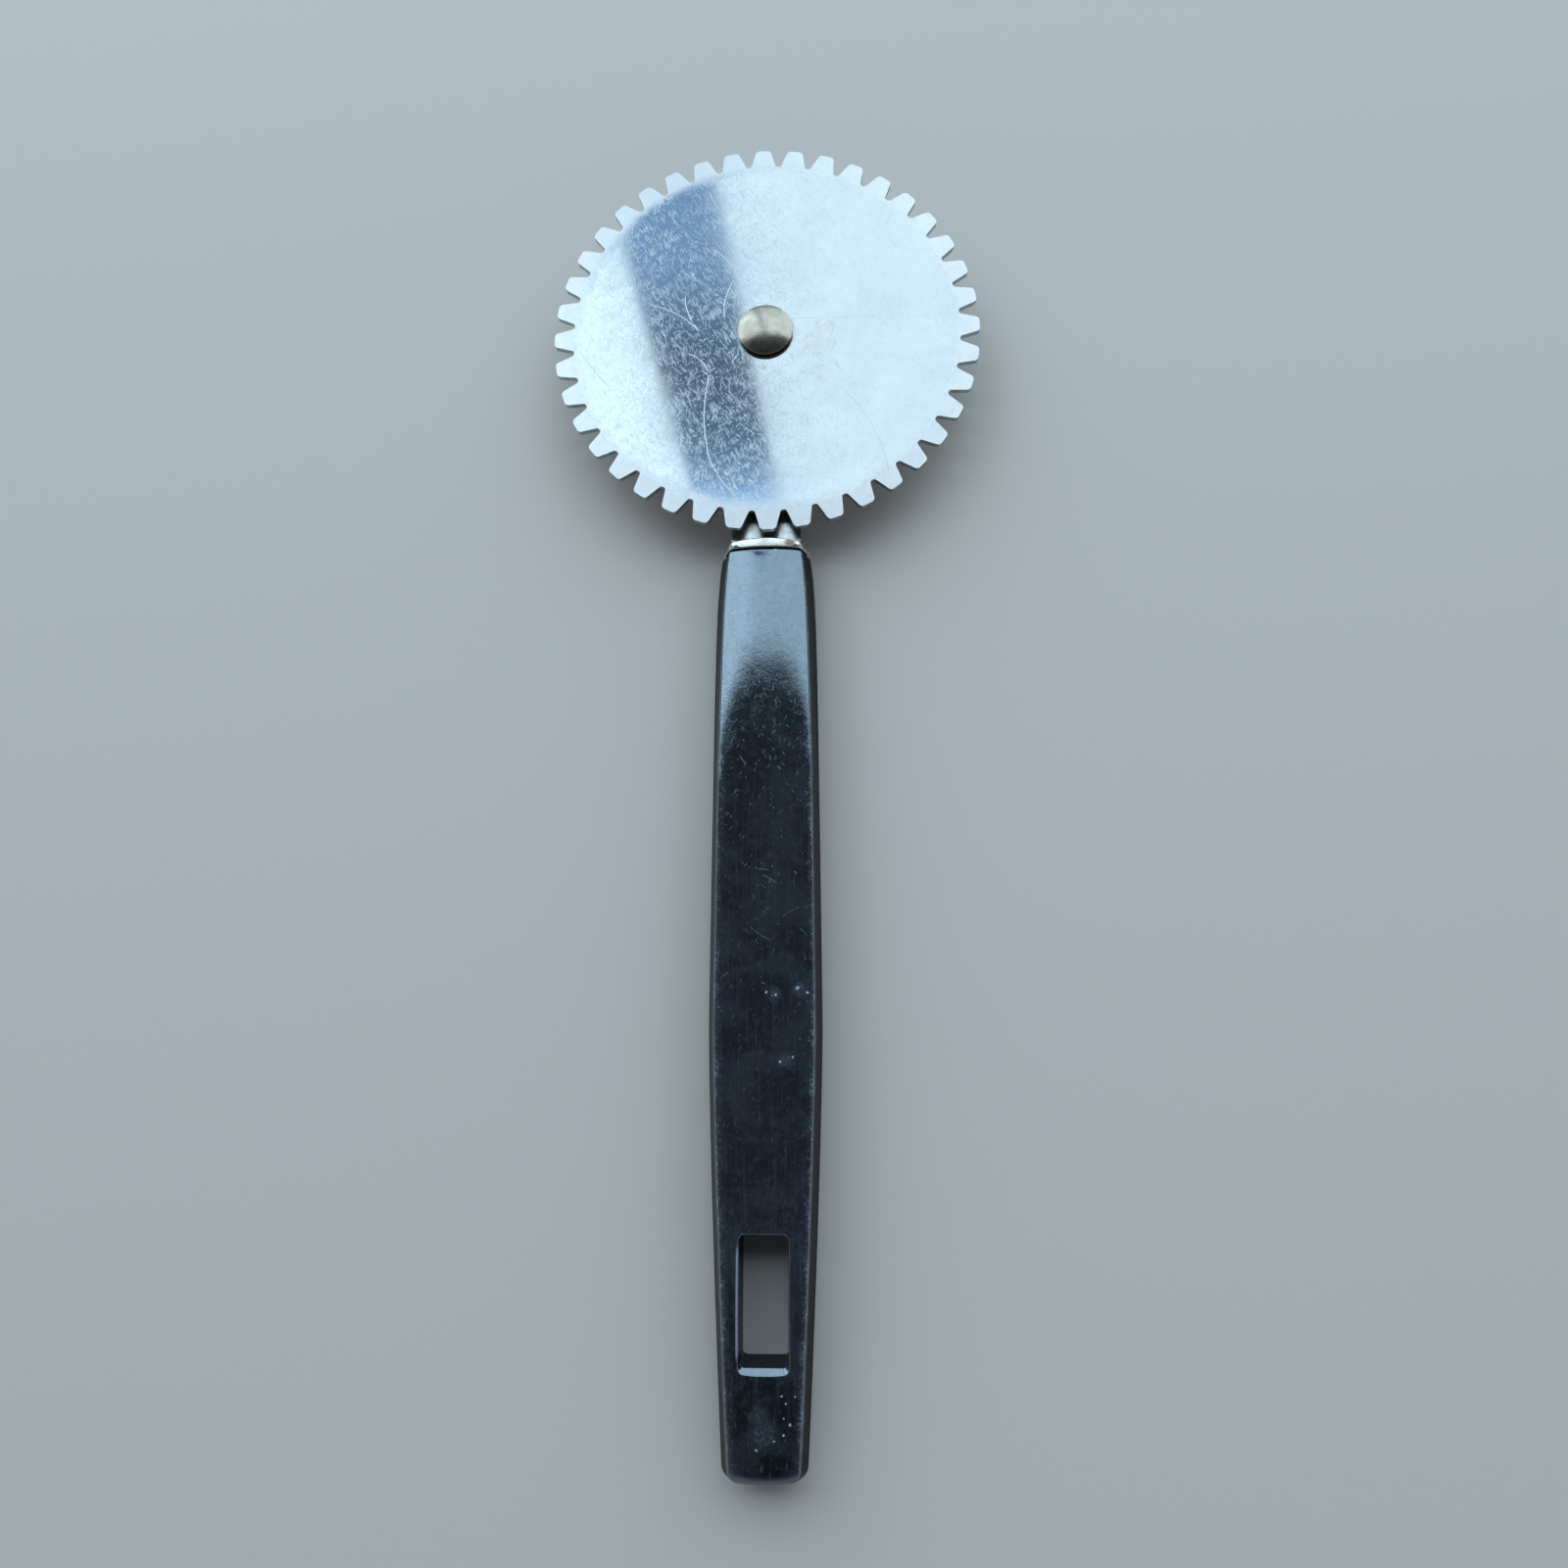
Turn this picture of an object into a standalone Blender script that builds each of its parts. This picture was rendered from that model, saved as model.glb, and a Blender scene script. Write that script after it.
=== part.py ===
"""Toothed pastry wheel: a flat steel disc with trapezoid teeth spins on a rivet at the end of a flat
steel shank, whose tang is held in a slim moulded handle with a hanging slot.

Frame: the origin is the centre of the bounding box's base. +Y runs from the handle's end to the wheel,
+Z is up, along the wheel's axis, and +X is to the right. The handle's underside lies flat at Z = 0.
All lengths are in metres.
"""

import math

import bmesh
import bpy
from mathutils import Vector

MM = 0.001

# Driving dimensions
WHEEL_RADIUS = 30.0 * MM
TOOTH_COUNT = 40
OVERALL_LENGTH = 176.4 * MM
HANDLE_LENGTH = 113.5 * MM
HANDLE_WIDTH = 14.2 * MM
HANDLE_THICKNESS = 7.5 * MM
GAP = 0.3 * MM
CLOSE_GAP = 0.25 * MM

# Places along the tool
AXLE_Y = OVERALL_LENGTH / 2 - WHEEL_RADIUS
HANDLE_END_Y = -OVERALL_LENGTH / 2
HANDLE_FRONT_Y = HANDLE_END_Y + HANDLE_LENGTH

# Shank, stamped from plate
SHANK_THICKNESS = 1.5 * MM
SHANK_BOTTOM = 2.9 * MM
SHANK_TOP = SHANK_BOTTOM + SHANK_THICKNESS
NECK_WIDTH = 9.5 * MM
NECK_END_ROUND = 0.49 * NECK_WIDTH
SHOULDER_ROUND = 0.3 * MM
TANG_WIDTH = 7.4 * MM
TANG_LENGTH = 84.0 * MM
TANG_TAPER_LENGTH = 12.0 * MM
TANG_TIP_WIDTH = 4.6 * MM
TANG_TIP_ROUND = 1.0 * MM
SHANK_EDGE_ROUND = 0.4 * MM

# Bolster, the plate between the handle's front and the neck's shoulders
BOLSTER_THICKNESS = 1.4 * MM
BOLSTER_REAR_Y = HANDLE_FRONT_Y + CLOSE_GAP
BOLSTER_FRONT_Y = BOLSTER_REAR_Y + BOLSTER_THICKNESS
BOLSTER_EDGE_ROUND = 0.3 * MM
BOLSTER_DOME = 0.5 * MM
BOLSTER_INSET = 0.05 * MM
BOLSTER_DRAFT = 1.2 * MM
BOLSTER_TOP_ROUND = 1.2 * MM

# Axle stack, from the underside up
RIVET_RADIUS = 2.0 * MM
RUNNING_HOLE_RADIUS = RIVET_RADIUS + 0.1 * MM
FIXED_HOLE_RADIUS = RIVET_RADIUS + GAP
TAIL_RADIUS = 3.0 * MM
TAIL_BOTTOM = 0.9 * MM
WASHER_THICKNESS = 0.8 * MM
WASHER_EDGE_BREAK = 0.1 * MM
BURR_RADIUS = 4.2 * MM
BURR_TOP = SHANK_BOTTOM - GAP
BURR_BOTTOM = BURR_TOP - WASHER_THICKNESS
SPACER_RADIUS = 4.4 * MM
SPACER_BOTTOM = SHANK_TOP + CLOSE_GAP
SPACER_TOP = SPACER_BOTTOM + WASHER_THICKNESS
WHEEL_THICKNESS = 0.8 * MM
WHEEL_BOTTOM = SPACER_TOP + GAP
WHEEL_TOP = WHEEL_BOTTOM + WHEEL_THICKNESS
HEAD_RADIUS = 3.85 * MM
HEAD_BOTTOM = WHEEL_TOP + CLOSE_GAP
HEAD_RIM_HEIGHT = 0.45 * MM
HEAD_DOME_HEIGHT = 0.95 * MM

# Teeth
TOOTH_DEPTH = 2.8 * MM
TOOTH_TIP_WIDTH = 2.1 * MM
TOOTH_ROOT_GAP = 0.7 * MM
TOOTH_TIP_ROUND = 0.6 * MM
TOOTH_ROOT_ROUND = 0.42 * MM
WHEEL_TURN = math.radians(0.7)

# Handle section: drafted sides that meet in a ridge at the parting line, and a crowned top
PARTING_HEIGHT = 3.5 * MM
PARTING_ROUND = 0.5 * MM
FRONT_DRAFT = 1.2 * MM
MIDDLE_DRAFT = 0.9 * MM
DRAFT_CHANGE_LENGTH = 34.0 * MM
TOP_EDGE_ROUND = 0.45 * MM
UNDER_EDGE_ROUND = 0.6 * MM
TOP_CROWN = 0.6 * MM
TOP_CROWN_POWER = 2.6
TOP_CROWN_SHARES = (0.85, 0.5, 0.0, -0.5, -0.85)
SECTION_CORNER_STEPS = 3

# Handle along its length: a nose behind the bolster, a slow barrel and a tapered rear
WIDEST_SHARE = 0.55
NOSE_TAPER = 1.45 * MM
NOSE_LENGTH = 4.8 * MM
FRONT_TAPER = 0.75 * MM
FRONT_TAPER_POWER = 1.2
REAR_TAPER = 4.3 * MM
REAR_TAPER_POWER = 1.3
FRONT_THINNING = 0.5 * MM
FRONT_THINNING_POWER = 3
REAR_THINNING = 1.1 * MM
REAR_THINNING_POWER = 2
END_CORNER_ROUND = 1.3 * MM
END_FACE_BULGE = 0.45 * MM
END_FACE_DRAFT = 0.8 * MM
END_FACE_DRAFT_POWER = 1.5
END_BLEND_LENGTH = 10.0 * MM
END_CORNER_FLATTENING = 0.5
FRONT_EDGE_BREAK = 0.4 * MM
NOSE_REACH = 2.5 * NOSE_LENGTH
NOSE_STATIONS = 6
NOSE_STATION_POWER = 1.5
BODY_STATIONS = 26

# Hanging slot through the handle
SLOT_WIDTH = 5.75 * MM
SLOT_FRONT_Y = AXLE_Y - 119.3 * MM
SLOT_REAR_Y = AXLE_Y - 133.75 * MM
SLOT_CORNER_ROUND = 0.7 * MM
SLOT_LEAD_IN = 0.2 * MM
SLOT_REAR_LEAD_IN = 0.55 * MM
SLOT_LEAD_IN_DEPTH = 0.7 * MM
CUTTER_MARGIN = 1.0 * MM

TURN_STEPS = 64
SMOOTH_BELOW = math.radians(35)
BEVEL_ABOVE = math.radians(40)
OBJECT_NAME = "pastry_wheel"
MERGE_DISTANCE = 0.00001


def clear_scene():
    for old in list(bpy.data.objects):
        bpy.data.objects.remove(old, do_unlink=True)


def new_collection(name):
    collection = bpy.data.collections.new(name)
    bpy.context.scene.collection.children.link(collection)
    return collection


def principled(name, colour, roughness, metallic):
    material = bpy.data.materials.new(name)
    material.use_nodes = True
    shader = material.node_tree.nodes["Principled BSDF"]
    shader.inputs["Base Color"].default_value = (*colour, 1.0)
    shader.inputs["Roughness"].default_value = roughness
    shader.inputs["Metallic"].default_value = metallic
    return material


def rounded_outline(corners, steps):
    """The closed outline through corners (x, y, radius), each rounded by an arc of that many steps."""
    points = []
    for i, (x, y, radius) in enumerate(corners):
        corner = Vector((x, y))
        if radius == 0:
            points.append(corner)
            continue
        back = (Vector(corners[i - 1][:2]) - corner).normalized()
        ahead = (Vector(corners[(i + 1) % len(corners)][:2]) - corner).normalized()
        half = back.angle(ahead) / 2
        centre = corner + (back + ahead).normalized() * (radius / math.sin(half))
        reach = radius / math.tan(half)
        first = corner + back * reach - centre
        last = corner + ahead * reach - centre
        start = math.atan2(first.y, first.x)
        sweep = math.remainder(math.atan2(last.y, last.x) - start, math.tau)
        for step in range(steps + 1):
            angle = start + sweep * step / steps
            points.append(centre + radius * Vector((math.cos(angle), math.sin(angle))))
    return points


def circle(radius, steps=TURN_STEPS):
    angles = [math.tau * step / steps for step in range(steps)]
    return [Vector((radius * math.cos(a), radius * math.sin(a))) for a in angles]


def plate(name, outlines, low, high, collection):
    """A flat plate between two heights: the first outline is its rim and the others are holes."""
    curve = bpy.data.curves.new(name + "_outline", "CURVE")
    curve.dimensions = "2D"
    curve.fill_mode = "BOTH"
    curve.extrude = (high - low) / 2
    for outline in outlines:
        spline = curve.splines.new("POLY")
        spline.points.add(len(outline) - 1)
        for point, place in zip(spline.points, outline):
            point.co = (place.x, place.y, 0, 1)
        spline.use_cyclic_u = True
    flat = bpy.data.objects.new(name + "_flat", curve)
    bpy.context.scene.collection.objects.link(flat)
    depsgraph = bpy.context.evaluated_depsgraph_get()
    mesh = bpy.data.meshes.new_from_object(flat.evaluated_get(depsgraph))
    bpy.data.objects.remove(flat, do_unlink=True)
    bm = bmesh.new()
    bm.from_mesh(mesh)
    bmesh.ops.remove_doubles(bm, verts=bm.verts, dist=MERGE_DISTANCE)
    bmesh.ops.translate(bm, verts=bm.verts, vec=(0, 0, (low + high) / 2))
    bmesh.ops.recalc_face_normals(bm, faces=bm.faces)
    bm.to_mesh(mesh)
    bm.free()
    mesh.name = name
    obj = bpy.data.objects.new(name, mesh)
    collection.objects.link(obj)
    return obj


def loft(name, rings, collection, last_tip=None):
    """A closed solid through rings of equal point counts, each end closed by a fan to its centre or tip."""
    bm = bmesh.new()
    levels = [[bm.verts.new(point) for point in ring] for ring in rings]
    count = len(levels[0])
    for lower, upper in zip(levels, levels[1:]):
        for i in range(count):
            j = (i + 1) % count
            bm.faces.new((lower[i], lower[j], upper[j], upper[i]))
    for level, tip in ((levels[0], None), (levels[-1], last_tip)):
        middle = bm.verts.new(tip or sum((v.co for v in level), Vector()) / count)
        for i in range(count):
            bm.faces.new((level[i], level[(i + 1) % count], middle))
    bmesh.ops.recalc_face_normals(bm, faces=bm.faces)
    mesh = bpy.data.meshes.new(name)
    bm.to_mesh(mesh)
    bm.free()
    obj = bpy.data.objects.new(name, mesh)
    collection.objects.link(obj)
    return obj


def turned(name, profile, closed, collection):
    """A turned solid: the profile's (radius, height) points run down its outer side."""
    mesh = bpy.data.meshes.new(name)
    edges = [(i, i + 1) for i in range(len(profile) - 1)]
    if closed:
        edges.append((len(profile) - 1, 0))
    mesh.from_pydata([(radius, 0, height) for radius, height in profile], edges, [])
    obj = bpy.data.objects.new(name, mesh)
    collection.objects.link(obj)
    screw = obj.modifiers.new("turn", "SCREW")
    screw.axis = "Z"
    screw.steps = TURN_STEPS
    screw.render_steps = TURN_STEPS
    screw.use_merge_vertices = True
    screw.merge_threshold = MERGE_DISTANCE
    screw.use_smooth_shade = True
    return obj


def cut(target, cutter):
    cutter.hide_render = True
    cutter.display_type = "WIRE"
    boolean = target.modifiers.new(cutter.name, "BOOLEAN")
    boolean.operation = "DIFFERENCE"
    boolean.solver = "EXACT"
    boolean.object = cutter


def bevel(obj, width, segments):
    modifier = obj.modifiers.new("rounded_edges", "BEVEL")
    modifier.width = width
    modifier.segments = segments
    modifier.limit_method = "ANGLE"
    modifier.angle_limit = BEVEL_ABOVE


def give(obj, material, parent=None):
    obj.data.materials.append(material)
    if parent is not None:
        obj.parent = parent
    return obj


def tooth_corners():
    """The rim's corners, tooth by tooth; the first tooth is a little turned from +X, as the wheel lies."""
    root_radius = WHEEL_RADIUS - TOOTH_DEPTH
    half_pitch = math.pi / TOOTH_COUNT
    root_half = root_radius * math.tan(half_pitch) - TOOTH_ROOT_GAP / 2
    tooth = [
        (root_radius, -root_half, TOOTH_ROOT_ROUND),
        (WHEEL_RADIUS, -TOOTH_TIP_WIDTH / 2, TOOTH_TIP_ROUND),
        (WHEEL_RADIUS, TOOTH_TIP_WIDTH / 2, TOOTH_TIP_ROUND),
        (root_radius, root_half, TOOTH_ROOT_ROUND),
    ]
    corners = []
    for k in range(TOOTH_COUNT):
        turn = WHEEL_TURN + math.tau * k / TOOTH_COUNT
        for out, side, radius in tooth:
            x = out * math.cos(turn) - side * math.sin(turn)
            y = out * math.sin(turn) + side * math.cos(turn)
            corners.append((x, y, radius))
    return corners


def make_cutting_wheel(collection):
    rim = rounded_outline(tooth_corners(), 2)
    return plate("cutting_wheel", [rim, circle(RUNNING_HOLE_RADIUS)], WHEEL_BOTTOM, WHEEL_TOP, collection)


def dome(radius, base, height, steps):
    """A spherical cap's (radius, height) points, from its rim to its top."""
    sphere = (radius**2 + height**2) / (2 * height)
    full = math.asin(radius / sphere)
    angles = [full * (1 - step / steps) for step in range(steps + 1)]
    return [(sphere * math.sin(a), base + height - sphere * (1 - math.cos(a))) for a in angles]


def make_axle_rivet(collection):
    head = dome(HEAD_RADIUS, HEAD_BOTTOM + HEAD_RIM_HEIGHT, HEAD_DOME_HEIGHT, 6)
    tail_top = BURR_BOTTOM - GAP
    tail_dome = [(r, 2 * tail_top - z) for r, z in dome(TAIL_RADIUS, tail_top, tail_top - TAIL_BOTTOM, 4)]
    profile = head[::-1]
    profile.append((HEAD_RADIUS, HEAD_BOTTOM))
    profile.append((RIVET_RADIUS, HEAD_BOTTOM))
    profile.append((RIVET_RADIUS, tail_top))
    profile.extend(tail_dome)
    profile[0] = (0, profile[0][1])
    profile[-1] = (0, profile[-1][1])
    return turned("axle_rivet", profile, False, collection)


def make_washer(name, radii, heights, collection):
    """A flat washer with its outer edges broken, from its (hole, rim) radii and (low, high) heights."""
    hole_radius, radius = radii
    low, high = heights
    profile = [
        (hole_radius, high),
        (radius - WASHER_EDGE_BREAK, high),
        (radius, high - WASHER_EDGE_BREAK),
        (radius, low + WASHER_EDGE_BREAK),
        (radius - WASHER_EDGE_BREAK, low),
        (hole_radius, low),
    ]
    return turned(name, profile, True, collection)


def make_shank(collection):
    """Neck, shoulders and tang in one plate, drawn about the axle."""
    shoulder = BOLSTER_FRONT_Y + GAP - AXLE_Y
    tang_end = HANDLE_FRONT_Y - TANG_LENGTH - AXLE_Y
    tang_taper = tang_end + TANG_TAPER_LENGTH
    half_neck = NECK_WIDTH / 2
    half_tang = TANG_WIDTH / 2
    half_tip = TANG_TIP_WIDTH / 2
    corners = [
        (half_neck, half_neck, NECK_END_ROUND),
        (-half_neck, half_neck, NECK_END_ROUND),
        (-half_neck, shoulder, SHOULDER_ROUND),
        (-half_tang, shoulder, 0.0),
        (-half_tang, tang_taper, 0.0),
        (-half_tip, tang_end, TANG_TIP_ROUND),
        (half_tip, tang_end, TANG_TIP_ROUND),
        (half_tang, tang_taper, 0.0),
        (half_tang, shoulder, 0.0),
        (half_neck, shoulder, SHOULDER_ROUND),
    ]
    outline = rounded_outline(corners, 12)
    shank = plate("shank", [outline, circle(FIXED_HOLE_RADIUS)], SHANK_BOTTOM, SHANK_TOP, collection)
    bevel(shank, SHANK_EDGE_ROUND, 2)
    return shank


def handle_half_width(along):
    """Half the handle's width at the parting line, at a distance behind its front."""
    widest = WIDEST_SHARE * HANDLE_LENGTH
    if along < widest:
        nose = NOSE_TAPER * math.exp(-along / NOSE_LENGTH)
        return (HANDLE_WIDTH - nose - FRONT_TAPER * (1 - along / widest) ** FRONT_TAPER_POWER) / 2
    share = (along - widest) / (HANDLE_LENGTH - widest)
    return (HANDLE_WIDTH - REAR_TAPER * share**REAR_TAPER_POWER) / 2


def handle_top(along):
    """The height of the handle's top face, at a distance behind its front."""
    widest = WIDEST_SHARE * HANDLE_LENGTH
    if along < widest:
        return HANDLE_THICKNESS - FRONT_THINNING * (1 - along / widest) ** FRONT_THINNING_POWER
    share = (along - widest) / (HANDLE_LENGTH - widest)
    return HANDLE_THICKNESS - REAR_THINNING * share**REAR_THINNING_POWER


def handle_draft(along):
    """How far the top and bottom faces' edges lie inside the parting line."""
    share = min(along / DRAFT_CHANGE_LENGTH, 1.0)
    return MIDDLE_DRAFT + (FRONT_DRAFT - MIDDLE_DRAFT) * (1 + math.cos(math.pi * share)) / 2


def drafted_section(half_width, top, draft, top_round, shrink=0.0):
    """(x, z) points around a drafted section, anticlockwise; shrink pulls every side inwards."""
    outer = half_width - shrink
    inner = outer - draft
    low = shrink
    shoulder = top - shrink - TOP_CROWN
    corners = [
        (-inner, low, UNDER_EDGE_ROUND),
        (inner, low, UNDER_EDGE_ROUND),
        (outer, PARTING_HEIGHT, PARTING_ROUND),
        (inner, shoulder, top_round),
        (-inner, shoulder, top_round),
        (-outer, PARTING_HEIGHT, PARTING_ROUND),
    ]
    points = rounded_outline(corners, SECTION_CORNER_STEPS)
    right_count = 4 * (SECTION_CORNER_STEPS + 1)
    crown_half = points[right_count - 1].x
    crown = []
    for share in TOP_CROWN_SHARES:
        height = shoulder + TOP_CROWN * (1 - abs(share) ** TOP_CROWN_POWER)
        crown.append(Vector((share * crown_half, height)))
    return points[:right_count] + crown + points[right_count:]


def handle_section(along, shrink=0.0):
    width = handle_half_width(along)
    return drafted_section(width, handle_top(along), handle_draft(along), TOP_EDGE_ROUND, shrink)


def end_blend(along):
    """0 along most of the handle, rising to 1 at its end."""
    return max(0.0, 1 - (HANDLE_LENGTH - along) / END_BLEND_LENGTH) ** 2


def place_section(section, along):
    """The section upright at a distance behind the handle's front, shaped to the end's bulge and draft."""
    blend = end_blend(along)
    widest = handle_half_width(along)
    placed = []
    for point in section:
        bulge = END_FACE_BULGE * (point.x / widest) ** 2
        above = (point.y - PARTING_HEIGHT) / PARTING_HEIGHT
        draft = END_FACE_DRAFT * abs(above) ** END_FACE_DRAFT_POWER
        back = along - blend * (bulge + draft)
        placed.append(Vector((point.x, HANDLE_FRONT_Y - back, point.y)))
    return placed


def end_section(along, across, tall):
    """A section near the end, scaled across and in height."""
    return [
        Vector((p.x * across, PARTING_HEIGHT + (p.y - PARTING_HEIGHT) * tall))
        for p in handle_section(along)
    ]


def handle_stations():
    """Distances behind the handle's front: close together along the nose, then even."""
    last = HANDLE_LENGTH - END_CORNER_ROUND
    stations = []
    for i in range(NOSE_STATIONS):
        share = (i / NOSE_STATIONS) ** NOSE_STATION_POWER
        stations.append(FRONT_EDGE_BREAK + (NOSE_REACH - FRONT_EDGE_BREAK) * share)
    for i in range(BODY_STATIONS + 1):
        stations.append(NOSE_REACH + (last - NOSE_REACH) * i / BODY_STATIONS)
    return stations


def end_corner_rings():
    """Sections round the end's corner, then one half-size ring on the end face."""
    rings = []
    for degrees in (30, 60, 90):
        angle = math.radians(degrees)
        along = HANDLE_LENGTH - END_CORNER_ROUND * (1 - math.sin(angle))
        inset = END_CORNER_ROUND * (1 - math.cos(angle))
        across = 1 - inset / handle_half_width(along)
        tall = 1 - END_CORNER_FLATTENING * inset / PARTING_HEIGHT
        rings.append(place_section(end_section(along, across, tall), along))
    face = end_section(HANDLE_LENGTH, across / 2, tall / 2)
    rings.append(place_section(face, HANDLE_LENGTH))
    return rings


def handle_rings():
    front = place_section(handle_section(0, FRONT_EDGE_BREAK), 0)
    body = [place_section(handle_section(along), along) for along in handle_stations()]
    return [front] + body + end_corner_rings()


def make_slot_cutter(collection):
    """The hanging slot, with a lead-in on both faces that is widest at its rear end."""
    top = handle_top(HANDLE_FRONT_Y - SLOT_REAR_Y)
    past_face = 1 + CUTTER_MARGIN / SLOT_LEAD_IN_DEPTH
    rings = []
    for height, share in (
        (-CUTTER_MARGIN, past_face),
        (SLOT_LEAD_IN_DEPTH, 0.0),
        (top - SLOT_LEAD_IN_DEPTH, 0.0),
        (top + CUTTER_MARGIN, past_face),
    ):
        side = SLOT_WIDTH / 2 + SLOT_LEAD_IN * share
        front = SLOT_FRONT_Y + SLOT_LEAD_IN * share
        rear = SLOT_REAR_Y - SLOT_REAR_LEAD_IN * share
        corners = [
            (side, rear, SLOT_CORNER_ROUND),
            (side, front, SLOT_CORNER_ROUND),
            (-side, front, SLOT_CORNER_ROUND),
            (-side, rear, SLOT_CORNER_ROUND),
        ]
        rings.append([Vector((p.x, p.y, height)) for p in rounded_outline(corners, 4)])
    return loft("slot_cutter", rings, collection)


def box_cutter(name, low, high, collection):
    bm = bmesh.new()
    bmesh.ops.create_cube(bm, size=1)
    size = Vector(high) - Vector(low)
    bmesh.ops.scale(bm, verts=bm.verts, vec=size)
    bmesh.ops.translate(bm, verts=bm.verts, vec=(Vector(low) + Vector(high)) / 2)
    mesh = bpy.data.meshes.new(name)
    bm.to_mesh(mesh)
    bm.free()
    obj = bpy.data.objects.new(name, mesh)
    collection.objects.link(obj)
    return obj


def tang_slot_cutter(name, front, rear, collection):
    """The tang's socket, a gap wider than the tang all round."""
    half = TANG_WIDTH / 2 + GAP
    low = (-half, rear, SHANK_BOTTOM - GAP)
    high = (half, front, SHANK_TOP + GAP)
    return box_cutter(name, low, high, collection)


def make_handle(parts, cutters):
    end = Vector((0, HANDLE_END_Y, PARTING_HEIGHT))
    handle = loft("handle", handle_rings(), parts, last_tip=end)
    socket_front = HANDLE_FRONT_Y + CUTTER_MARGIN
    socket_end = HANDLE_FRONT_Y - TANG_LENGTH - GAP
    cut(handle, tang_slot_cutter("socket_cutter", socket_front, socket_end, cutters))
    cut(handle, make_slot_cutter(cutters))
    return handle


def make_bolster(parts, cutters):
    """A stamped plate with a domed front, shaped to the handle's front and pierced for the tang."""
    width = handle_half_width(0)
    section = drafted_section(width, handle_top(0), BOLSTER_DRAFT, BOLSTER_TOP_ROUND, BOLSTER_INSET)
    middle = handle_top(0) / 2
    widest = max(point.x for point in section)
    rings = []
    edge = BOLSTER_EDGE_ROUND
    for y, inset, dome_share in (
        (BOLSTER_REAR_Y, 0.0, 0.0),
        (BOLSTER_FRONT_Y - edge, 0.0, 1.0),
        (BOLSTER_FRONT_Y - 0.3 * edge, 0.3 * edge, 1.0),
        (BOLSTER_FRONT_Y, edge, 1.0),
    ):
        across = 1 - inset / widest
        tall = 1 - inset / middle
        ring = []
        for point in section:
            fall = dome_share * BOLSTER_DOME * (point.x / widest) ** 2
            ring.append(Vector((point.x * across, y - fall, middle + (point.y - middle) * tall)))
        rings.append(ring)
    bolster = loft("bolster", rings, parts)
    hole_front = BOLSTER_FRONT_Y + CUTTER_MARGIN
    hole_rear = BOLSTER_REAR_Y - CUTTER_MARGIN
    cut(bolster, tang_slot_cutter("bolster_cutter", hole_front, hole_rear, cutters))
    return bolster


def shade_round(obj):
    obj.data.shade_smooth()
    obj.data.set_sharp_from_angle(angle=SMOOTH_BELOW)


def main():
    clear_scene()
    parts = new_collection(OBJECT_NAME)
    cutters = new_collection("cutters")
    steel = principled("polished_steel", (0.66, 0.70, 0.76), 0.22, 1.0)
    nickel = principled("nickel_plate", (0.62, 0.60, 0.54), 0.28, 1.0)
    plastic = principled("black_plastic", (0.012, 0.013, 0.015), 0.38, 0.0)
    axle = bpy.data.objects.new("axle_axis", None)
    parts.objects.link(axle)
    axle.location = (0, AXLE_Y, 0)

    shade_round(give(make_cutting_wheel(parts), steel, axle))
    give(make_axle_rivet(parts), nickel, axle)
    spacer_radii = (RUNNING_HOLE_RADIUS, SPACER_RADIUS)
    burr_radii = (FIXED_HOLE_RADIUS, BURR_RADIUS)
    give(make_washer("spacer_washer", spacer_radii, (SPACER_BOTTOM, SPACER_TOP), parts), nickel, axle)
    give(make_washer("rivet_burr", burr_radii, (BURR_BOTTOM, BURR_TOP), parts), nickel, axle)
    shade_round(give(make_shank(parts), steel, axle))
    shade_round(give(make_bolster(parts, cutters), nickel))
    shade_round(give(make_handle(parts, cutters), plastic))


main()
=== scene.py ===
"""Looks of the toothed pastry wheel: worn polished steel, aged nickel and black moulded plastic.

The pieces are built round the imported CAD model, in its frame: +Y from the handle's end to the
wheel, +Z up. Every length is in metres; materials measure in millimetres.
"""

import math
import random

import bmesh
import bpy
from mathutils import Euler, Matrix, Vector, noise


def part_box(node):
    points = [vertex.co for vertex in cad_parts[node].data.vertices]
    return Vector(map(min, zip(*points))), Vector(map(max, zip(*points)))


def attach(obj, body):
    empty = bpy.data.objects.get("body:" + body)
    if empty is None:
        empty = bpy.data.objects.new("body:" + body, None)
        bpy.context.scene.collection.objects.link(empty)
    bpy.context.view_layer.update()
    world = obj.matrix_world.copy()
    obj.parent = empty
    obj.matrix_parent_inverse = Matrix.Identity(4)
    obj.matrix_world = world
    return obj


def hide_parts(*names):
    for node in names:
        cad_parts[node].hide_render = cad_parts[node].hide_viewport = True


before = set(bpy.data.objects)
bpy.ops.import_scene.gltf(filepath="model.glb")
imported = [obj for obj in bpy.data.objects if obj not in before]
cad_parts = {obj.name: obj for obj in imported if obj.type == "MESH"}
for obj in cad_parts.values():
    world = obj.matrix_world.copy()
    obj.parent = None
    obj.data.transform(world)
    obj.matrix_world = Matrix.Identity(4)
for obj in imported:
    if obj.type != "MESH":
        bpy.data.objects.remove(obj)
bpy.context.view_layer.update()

MM = 0.001
random.seed(7)

# Camera
CAMERA_PLACE = (8.63 * MM, -37.01 * MM, 142.08 * MM)
CAMERA_TURN = (12.457, 2.62, -0.099)
CAMERA_LENS = 24.95
CAMERA_CLIP_START = 0.005

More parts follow.
